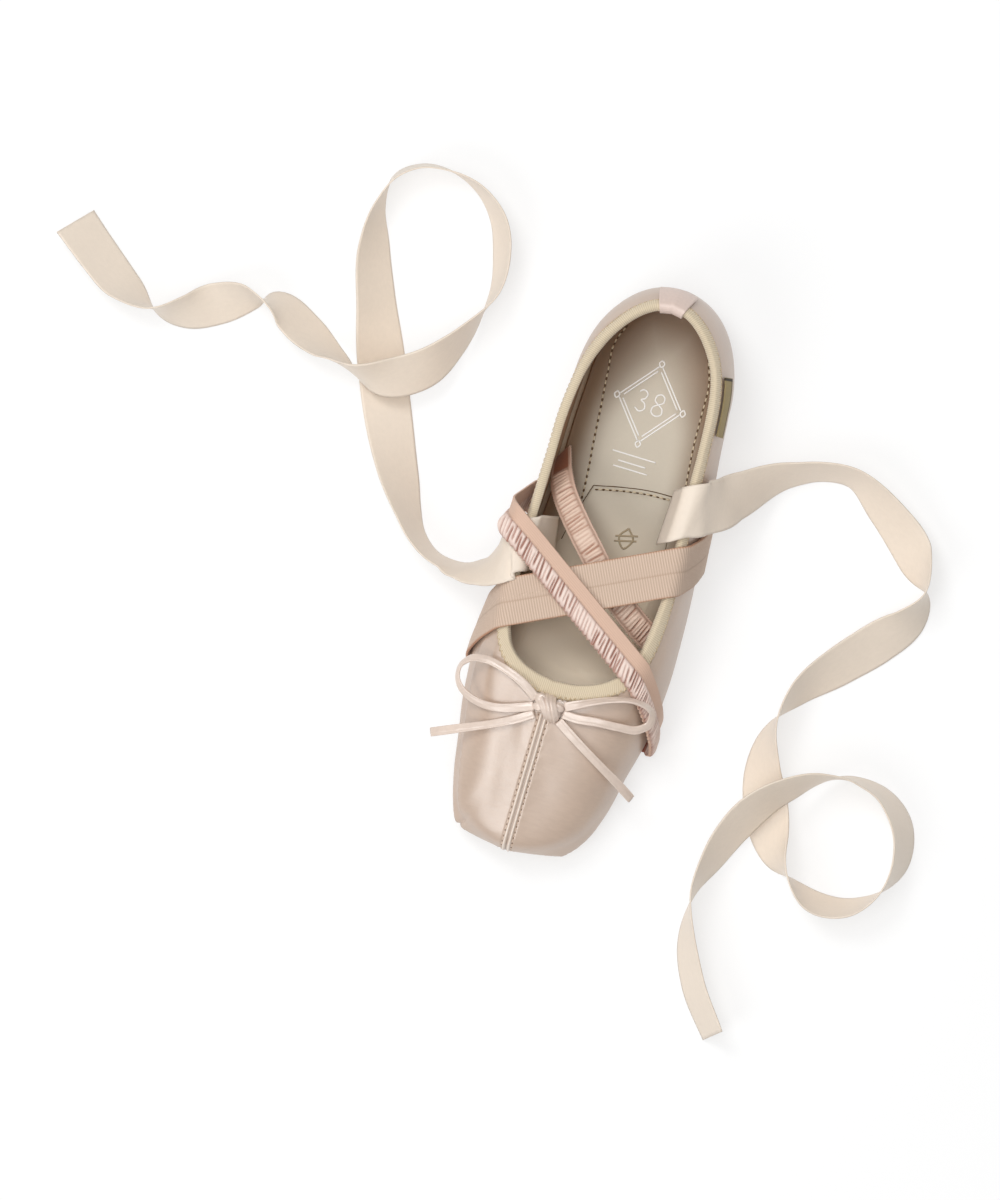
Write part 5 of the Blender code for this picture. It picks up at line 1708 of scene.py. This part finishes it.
RIBBON_THICKNESS = 0.5
RIBBON_SPACING = 1.6        # between rows of points along it
RIBBON_WAVE = 0.16
SELVAGE = 0.09              # how much thicker its edges are on either face
STRAND_SPACING = 0.7
STRAND_SIDES = 28
STRAND_FLATNESS = 0.34
RIBBON_MEDIAL = np.array([
    # x, y, lift, roll, skew
    (-17.2, 6.0, 27.4, 0.0, 12.0),
    (-21.0, 4.4, 37.0, 0.0, 22.0),
    (-23.8, 3.1, 42.9, 0.0, 30.0),
    (-25.6, 2.1, 47.0, 0.0, 30.0),
    (-28.5, 0.6, 47.6, 0.0, 30.0),
    (-31.5, -1.3, 46.8, 4.0, 28.0),
    (-33.8, -4.2, 40.5, 24.0, 22.0),
    (-36.8, -7.8, 32.0, 50.0, 10.0),
    (-42.0, -11.8, 20.0, 65.0, 0.0),
    (-49.0, -14.8, 9.0, 73.0, 0.0),
    (-57.0, -16.2, 2.5, 76.0, 0.0),
    (-66.0, -14.7, 0.6, 77.0, 0.0),
    (-75.0, -8.5, 0.6, 73.0, 0.0),
    (-82.5, 1.5, 0.6, 61.0, 0.0),
    (-89.5, 13.0, 0.6, 44.0, 0.0),
    (-110.5, 56.0, 0.6, 20.0, 0.0),
    (-120.0, 80.0, 0.6, 42.0, 0.0),
    (-127.7, 102.0, 0.6, 56.0, 0.0),
    (-130.4, 119.5, 0.6, 82.0, 0.0),
    (-127.0, 134.5, 0.6, 98.0, 0.0),
    (-118.0, 141.0, 0.6, 97.0, 0.0),
    (-105.0, 142.3, 0.6, 91.0, 0.0),
    (-91.0, 138.0, 0.6, 80.0, 0.0),
    (-81.0, 129.0, 0.6, 69.0, 0.0),
    (-74.8, 114.0, 0.6, 67.0, 0.0),
    (-73.2, 99.0, 0.8, 76.0, 0.0),
    (-76.3, 86.5, 2.6, 93.0, 0.0),
    (-82.0, 73.5, 6.5, 112.0, 0.0),
    (-93.0, 58.5, 11.8, 137.0, 0.0),
    (-106.0, 51.0, 13.0, 137.0, 0.0),
    (-119.0, 49.3, 8.8, 102.0, 0.0),
    (-132.0, 53.8, 2.2, 68.0, 0.0),
    (-146.0, 61.0, 0.6, 46.0, 0.0),
    (-159.0, 67.3, 0.6, 60.0, 0.0),
    (-172.0, 67.3, 0.6, 115.0, 0.0),
    (-184.0, 60.8, 0.6, 143.0, 0.0),
    (-197.0, 53.3, 0.6, 124.0, 0.0),
    (-210.5, 50.5, 0.6, 88.0, 0.0),
    (-224.0, 56.0, 0.6, 50.0, 0.0),
    (-238.0, 65.7, 0.6, 39.0, 0.0),
    (-252.0, 76.5, 0.6, 34.0, 0.0),
])
RIBBON_LATERAL = np.array([
    # x, y, lift, roll, skew
    (24.5, 29.0, 36.0, 3.0, 29.0),
    (27.5, 30.5, 44.0, 4.0, 29.0),
    (29.2, 31.4, 47.6, 4.3, 29.0),
    (32.0, 33.0, 48.6, 4.3, 29.0),
    (35.2, 34.7, 48.5, 4.3, 29.0),
    (38.1, 36.1, 46.0, 5.0, 28.0),
    (41.0, 38.1, 40.0, 8.0, 24.0),
    (45.0, 40.9, 30.5, 20.0, 14.0),
    (51.5, 47.2, 17.0, 40.0, 3.0),
    (69.0, 61.8, 2.0, 64.0, 0.0),
    (79.0, 66.3, 0.6, 70.0, 0.0),
    (93.5, 68.0, 0.6, 68.0, 0.0),
    (111.0, 58.3, 0.6, 47.0, 0.0),
    (128.0, 44.0, 0.6, 42.0, 0.0),
    (137.0, 30.0, 0.6, 92.0, 0.0),
    (133.6, 18.0, 0.6, 125.0, 0.0),
    (123.5, 5.0, 0.6, 143.0, 0.0),
    (111.0, -9.0, 0.6, 138.0, 0.0),
    (98.0, -25.0, 0.6, 114.0, 0.0),
    (91.8, -41.0, 0.6, 78.0, 0.0),
    (92.5, -57.0, 0.6, 48.0, 0.0),
    (98.0, -73.5, 0.6, 27.0, 0.0),
    (106.0, -88.5, 0.6, 44.0, 0.0),
    (116.5, -100.2, 0.6, 90.0, 0.0),
    (129.0, -106.8, 0.6, 114.0, 0.0),
    (143.0, -105.5, 0.6, 112.0, 0.0),
    (154.8, -95.6, 0.6, 92.0, 0.0),
    (159.6, -82.0, 0.6, 74.0, 0.0),
    (155.5, -65.5, 0.6, 68.0, 0.0),
    (144.0, -55.5, 0.6, 75.0, 0.0),
    (131.0, -53.4, 2.6, 83.0, 0.0),
    (118.5, -56.8, 6.8, 98.0, 0.0),
    (107.5, -63.8, 11.0, 114.0, 0.0),
    (97.0, -73.8, 12.6, 124.0, 0.0),
    (89.3, -87.3, 8.0, 124.0, 0.0),
    (84.0, -102.5, 2.5, 113.0, 0.0),
    (80.2, -118.0, 0.6, 94.0, 0.0),
    (82.3, -134.5, 0.6, 71.0, 0.0),
    (91.0, -154.5, 0.6, 60.0, 0.0),
    (105.3, -173.0, 0.6, 64.0, 0.0),
])
BOW = {
    # strand: x, y, z of its middle line and the lean of its flat side, in degrees
    "bow_loop_medial": [
        (-4.9, -59.0, 43.4, 0), (-12.0, -54.4, 44.7, 10), (-21.0, -51.0, 44.4, 15),
        (-30.0, -49.5, 42.7, 25), (-36.0, -50.8, 40.3, 45), (-39.4, -54.5, 38.2, 65),
        (-39.6, -59.5, 36.9, 65), (-36.5, -64.0, 36.7, 50), (-29.0, -67.3, 37.6, 30),
        (-19.5, -67.4, 40.5, 15), (-11.5, -65.0, 41.9, 5), (-5.0, -62.4, 42.3, 0),
    ],
    "bow_loop_lateral": [
        (7.6, -59.0, 43.4, 0), (16.0, -54.8, 44.8, -35), (26.0, -50.4, 44.9, -50),
        (35.0, -48.3, 43.8, -60), (40.3, -49.0, 41.2, -60), (43.2, -51.6, 37.4, -50),
        (43.0, -56.0, 35.6, -40), (39.4, -59.2, 36.6, -25), (31.0, -60.6, 39.9, -10),
        (21.5, -61.3, 42.0, 0), (13.5, -62.3, 42.5, 0), (7.8, -62.0, 42.5, 0),
    ],
    "bow_tail_medial": [
        (-4.0, -65.3, 41.5, 0), (-10.0, -69.4, 41.0, 5), (-17.5, -73.5, 39.6, 10),
        (-25.0, -77.0, 36.9, 10), (-33.0, -80.5, 33.6, 5), (-39.0, -83.2, 30.8, 5),
        (-44.0, -85.4, 28.2, 5),
    ],
    "bow_tail_lateral": [
        (6.8, -65.3, 41.5, 0), (13.5, -69.5, 40.9, 0), (21.5, -74.2, 39.4, -5),
        (29.5, -78.8, 36.4, -10), (36.5, -82.8, 32.0, -10), (41.0, -85.6, 28.0, -10),
        (44.3, -87.8, 24.0, -10),
    ],
}


def ribbon_lines(rows, width, spacing):
    """Middle points and width vectors of a ribbon from its table of x, y, lift, roll and skew."""
    values = smooth_line(rows, spacing)
    roll = np.radians(values[:, 3])
    middle = np.column_stack((values[:, :2], values[:, 2] + width / 2 * np.abs(np.sin(roll))))
    along = directions(middle)
    left = unit(np.column_stack((-along[:, 1], along[:, 0], np.zeros(len(along)))))
    lean = left * np.cos(roll)[:, None] + UP * np.sin(roll)[:, None]
    lean = square_to(along, lean)
    forward = np.column_stack((left[:, 1], -left[:, 0], np.zeros(len(left))))
    return middle, lean + forward * np.tan(np.radians(values[:, 4]))[:, None]


def cord_facts(line):
    path = [tuple(float(c) for c in point) for point in (line - DRAWING_ZERO) * MM]
    return dict(exit=path[0], path=path, length=float(lengths(line)[-1]) * MM)


def strand_grid(line, lean, look):
    """Points of a flattened tube of satin with a crease beside its sewn edge."""
    turns = np.linspace(0.0, 2 * math.pi, STRAND_SIDES, endpoint=False)
    half = look.strand / MM / 2
    width = np.sign(np.cos(turns)) * np.abs(np.cos(turns)) ** 0.8 * half
    side_up = np.sign(np.sin(turns))
    height = side_up * np.abs(np.sin(turns)) ** 0.6 * half * STRAND_FLATNESS
    height = height - side_up * (0.30 * hump(width, -0.55 * half, 0.3) + 0.14 * hump(width, 0.3 * half, 0.7))
    along_mm = lengths(line)[:, None]
    crinkle = 0.05 * np.sin(along_mm / 1.3 + width * 0.9) + 0.06 * np.sin(along_mm / 3.1 - width * 1.4)
    height = height + crinkle * side_up
    width = width * (1.0 + 0.05 * np.sin(along_mm / 6.0 + 1.0))
    along = directions(line)
    up = square_to(along, UP)
    beside = np.cross(along, up)
    turn = np.radians(lean)[:, None]
    ups = up * np.cos(turn) + beside * np.sin(turn)
    side = beside * np.cos(turn) - up * np.sin(turn)
    return line[:, None, :] + side[:, None, :] * width[:, :, None] + ups[:, None, :] * height[:, :, None]


KNOT_TURN = np.array([
    # x,    y,     z
    (-0.9, -56.6, 41.0),
    (-0.5, -57.6, 43.5),
    (0.2,  -59.4, 45.7),
    (1.5,  -61.6, 46.1),
    (2.8,  -63.9, 44.5),
    (3.3,  -65.3, 41.7),
    (3.4,  -65.7, 40.4),
])
KNOT_FOLDS = (
    # shift, lean, low
    (-2.0, -0.5,   0.35),
    (0.1,  -0.15,  0.0),
    (2.1,   0.25,  0.3),
)
KNOT_MIDDLE = (1.5, -61.2, 40.0)
KNOT_LOBES = (
    # start x, y, z      end x, y, z        half width
    ((0.0, -60.0, 43.2), (-5.6, -57.9, 43.7), 2.3),
    ((0.0, -61.5, 42.8), (-5.4, -62.6, 42.2), 2.2),
    ((2.0, -60.5, 43.0), (7.6, -60.4, 43.2),  2.2),
    ((2.4, -62.5, 42.4), (6.8, -63.8, 41.9),  2.0),
)
KNOT_SIDES = 26
FOLD_HALVES = (1.55, 1.15)  # half the width and height of a fold of the turn
LOBE_HALF_HEIGHT = 1.25


def make_knot(surface):
    """The knot: a gathered turn of the strand over the pinched ends of loops and tails."""
    turns = np.linspace(0.0, 2 * math.pi, KNOT_SIDES, endpoint=False)
    for shift, lean, low in KNOT_FOLDS:
        over = KNOT_TURN.copy()
        over[:, 0] += shift + lean * (over[:, 1] + 61.0) * 0.25
        over[:, 2] -= low
        line = smooth_line(over, 0.35)
        rib = 1.0 + 0.16 * np.cos(4 * turns + shift)
        half_width, half_height = FOLD_HALVES
        surface.patch(tube_grid(line, line - KNOT_MIDDLE, half_width * rib, half_height * rib,
                                KNOT_SIDES))
    for start, end, half in KNOT_LOBES:
        middle = (np.array(start) + end) / 2 + (0.0, 0.3, 0.7)
        line = smooth_line([start, middle, end], 0.3)
        shares = np.linspace(0.0, 1.0, len(line))
        taper = (0.75 + 0.3 * np.sin(math.pi * shares)) * np.sqrt(np.clip(1.02 - shares ** 5, 0.05, 1.0))
        fold = 1.0 + 0.16 * np.cos(5 * turns + start[1])
        surface.patch(tube_grid(line, upwards(line), half * fold, LOBE_HALF_HEIGHT * fold,
                                KNOT_SIDES, taper))


class SHOE_OT_ribbons(Operator):
    """Make the two ankle ribbons"""
    bl_idname = "shoe.ribbons"
    bl_label = "Ankle ribbons"

    def execute(self, context):
        look = context.scene.shoe_ribbon
        finish = satin_finish("ribbon_satin", look.satin, roughness=0.42, slub=(0.5, 0.5, 1.0),
                              gloss=0.4, mottle=(0.92, 1.07))
        width = look.width / MM
        for side, rows in (("medial", RIBBON_MEDIAL), ("lateral", RIBBON_LATERAL)):
            middle, lean = ribbon_lines(rows, width, RIBBON_SPACING)
            share = np.linspace(0.5, -0.5, look.columns)
            share = np.sign(share) * (0.5 - (0.5 - np.abs(share)) ** 1.25 / 0.5 ** 0.25)
            sheet = middle[:, None, :] + lean[:, None, :] * share[None, :, None] * width
            normals = surface_normals(sheet, closed=False)
            along = lengths(middle)[:, None]
            wave = RIBBON_WAVE * np.sin(along / 6.1 + 3.0 * share) * np.sin(along / 17.0)
            sheet = sheet + normals * wave[:, :, None]
            selvage = SELVAGE * smoothstep(0.455, 0.47, np.abs(share))[None, :]
            surface = Surface()
            surface.patch(strip_ring(sheet, normals, RIBBON_THICKNESS, selvage, under=-selvage))
            ribbon = surface.build("ankle_ribbon_" + side, finish, slot="ribbon_satin",
                                   replaces="ribbon_" + side)
            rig.cord(ribbon, diameter=width * MM, far_end="bare", stiffness="limp", lay="loose",
                    **cord_facts(middle[::4]))
        return {"FINISHED"}


class SHOE_OT_bow(Operator):
    """Make the bow: its knot, two loops and two tails of flattened satin tube"""
    bl_idname = "shoe.bow"
    bl_label = "Bow"

    def execute(self, context):
        look = context.scene.shoe_ribbon
        finish = satin_finish("bow_satin", look.bow, roughness=0.32, slub=(0.6, 0.6, 0.6),
                              gloss=0.8, ior=1.6)
        core = Surface()
        make_knot(core)
        knot = core.build("bow_wrap", finish, slot="bow_satin", replaces="bow_knot")
        for name, rows in BOW.items():
            values = smooth_line(rows, STRAND_SPACING)
            line, lean = values[:, :3], values[:, 3]
            surface = Surface()
            surface.patch(strand_grid(line, lean, look))
            strand = surface.build(name.replace("bow", "satin"), finish, slot="bow_satin",
                                   replaces=name)
            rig.cord(strand, diameter=look.strand, far_end="bare" if "tail" in name else "knot",
                    stiffness="medium", lay="loose",
                    with_pieces=(knot,) if name == "bow_loop_medial" else (), **cord_facts(line[::3]))
        return {"FINISHED"}


# ---------------------------------------------------------------- stage

SENSOR_HEIGHT = 36.0
FLOOR_REACH = 3.0
FLOOR_GREY, FLOOR_GLOW = 0.36, 0.62
WHITE = (1.0, 1.0, 1.0, 1.0)
LIGHTS = (
    # name, right, up, height over the shoe, size, share of the key light's power
    ("key",  -0.42,  0.7,  1.6,  0.6,  1.0),
    ("top",   0.05,  0.05, 1.9,  0.9,  1.0),
    ("sheen", -0.9, -0.74, 1.42, 0.85, 0.86),
)


class SHOE_OT_stage(Operator):
    """Set up the floor, the lights, the sky and the camera"""
    bl_idname = "shoe.stage"
    bl_label = "Stage"

    def execute(self, context):
        look = context.scene.shoe_stage
        scene = context.scene
        right = Vector((math.cos(look.turn), math.sin(look.turn), 0.0))
        up = Vector((-math.sin(look.turn), math.cos(look.turn), 0.0))
        back = Vector((math.sin(look.lean), 0.0, math.cos(look.lean)))

        data = bpy.data.cameras.new("camera")
        data.lens = look.focal
        data.sensor_fit = "VERTICAL"
        data.sensor_height = SENSOR_HEIGHT
        camera = bpy.data.objects.new("camera", data)
        scene.collection.objects.link(camera)
        across = up.cross(back).normalized()
        rows = Matrix((across, back.cross(across), back)).transposed()
        camera.matrix_world = Matrix.Translation(
            Vector(look.aim) + back * (look.focal / SENSOR_HEIGHT * look.frame_height)
        ) @ rows.to_4x4()
        scene.camera = camera

        mesh = bpy.data.meshes.new("floor")
        corners = ((-1, -1), (1, -1), (1, 1), (-1, 1))
        mesh.from_pydata([(x * FLOOR_REACH, y * FLOOR_REACH, 0.0) for x, y in corners], [],
                         [(0, 1, 2, 3)])
        floor = bpy.data.objects.new("floor", mesh)
        scene.collection.objects.link(floor)
        paper = Finish("paper", Base_Color=(FLOOR_GREY, FLOOR_GREY, FLOOR_GREY, 1.0), Roughness=0.9,
                       Emission_Color=WHITE, Emission_Strength=FLOOR_GLOW, Specular_IOR_Level=0.1)
        mesh.materials.append(paper.material)
        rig.stage(floor)

        for name, aside, ahead, height, size, share in LIGHTS:
            place = right * aside + up * ahead + Vector((0.0, 0.0, height))
            self.light(scene, name, place, size, look.key * share)
        world = bpy.data.worlds.new("sky")
        world.use_nodes = True
        background = world.node_tree.nodes["Background"].inputs
        background["Color"].default_value = WHITE
        background["Strength"].default_value = look.sky
        scene.world = world
        scene.view_settings.view_transform = "Standard"
        return {"FINISHED"}

    @staticmethod
    def light(scene, name, place, size, power):
        """A square soft light aimed at the shoe."""
        data = bpy.data.lights.new(name, "AREA")
        data.size = size
        data.energy = power
        lamp = bpy.data.objects.new(name, data)
        lamp.location = place
        lamp.rotation_euler = (-place).to_track_quat("-Z", "Y").to_euler()
        scene.collection.objects.link(lamp)
        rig.stage(lamp)


class SHOE_PT_panel(Panel):
    """The shoe's pieces in the sidebar"""
    bl_label = "Ballet flat"
    bl_idname = "SHOE_PT_panel"
    bl_space_type = "VIEW_3D"
    bl_region_type = "UI"
    bl_category = "Shoe"

    def draw(self, context):
        for operator in OPERATORS:
            self.layout.operator(operator.bl_idname)


OPERATORS = (SHOE_OT_stage, SHOE_OT_ribbons, SHOE_OT_bow, SHOE_OT_upper, SHOE_OT_binding,
             SHOE_OT_tab, SHOE_OT_sole, SHOE_OT_sock, SHOE_OT_elastics)
SETTINGS = {
    "shoe_upper": UpperLook,
    "shoe_binding": BindingLook,
    "shoe_elastic": ElasticLook,
    "shoe_ribbon": RibbonLook,
    "shoe_sole": SoleLook,
    "shoe_stage": StageLook,
}


def register():
    for group in (*SETTINGS.values(), *OPERATORS, SHOE_PT_panel):
        bpy.utils.register_class(group)
    for name, group in SETTINGS.items():
        setattr(bpy.types.Scene, name, PointerProperty(type=group))


def unregister():
    for name in SETTINGS:
        delattr(bpy.types.Scene, name)
    for group in (SHOE_PT_panel, *reversed(OPERATORS), *SETTINGS.values()):
        bpy.utils.unregister_class(group)


def main():
    """Make every piece in order and note the sizes before and after."""
    register()
    for operator in OPERATORS:
        group, name = operator.bl_idname.split(".")
        getattr(getattr(bpy.ops, group), name)()
    sizes = {"cad": CAD_BOX, "shown": [list(corner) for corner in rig.bounds()]}
    with open("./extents.json", "w") as file:
        json.dump(sizes, file)


if __name__ == "__main__":
    main()
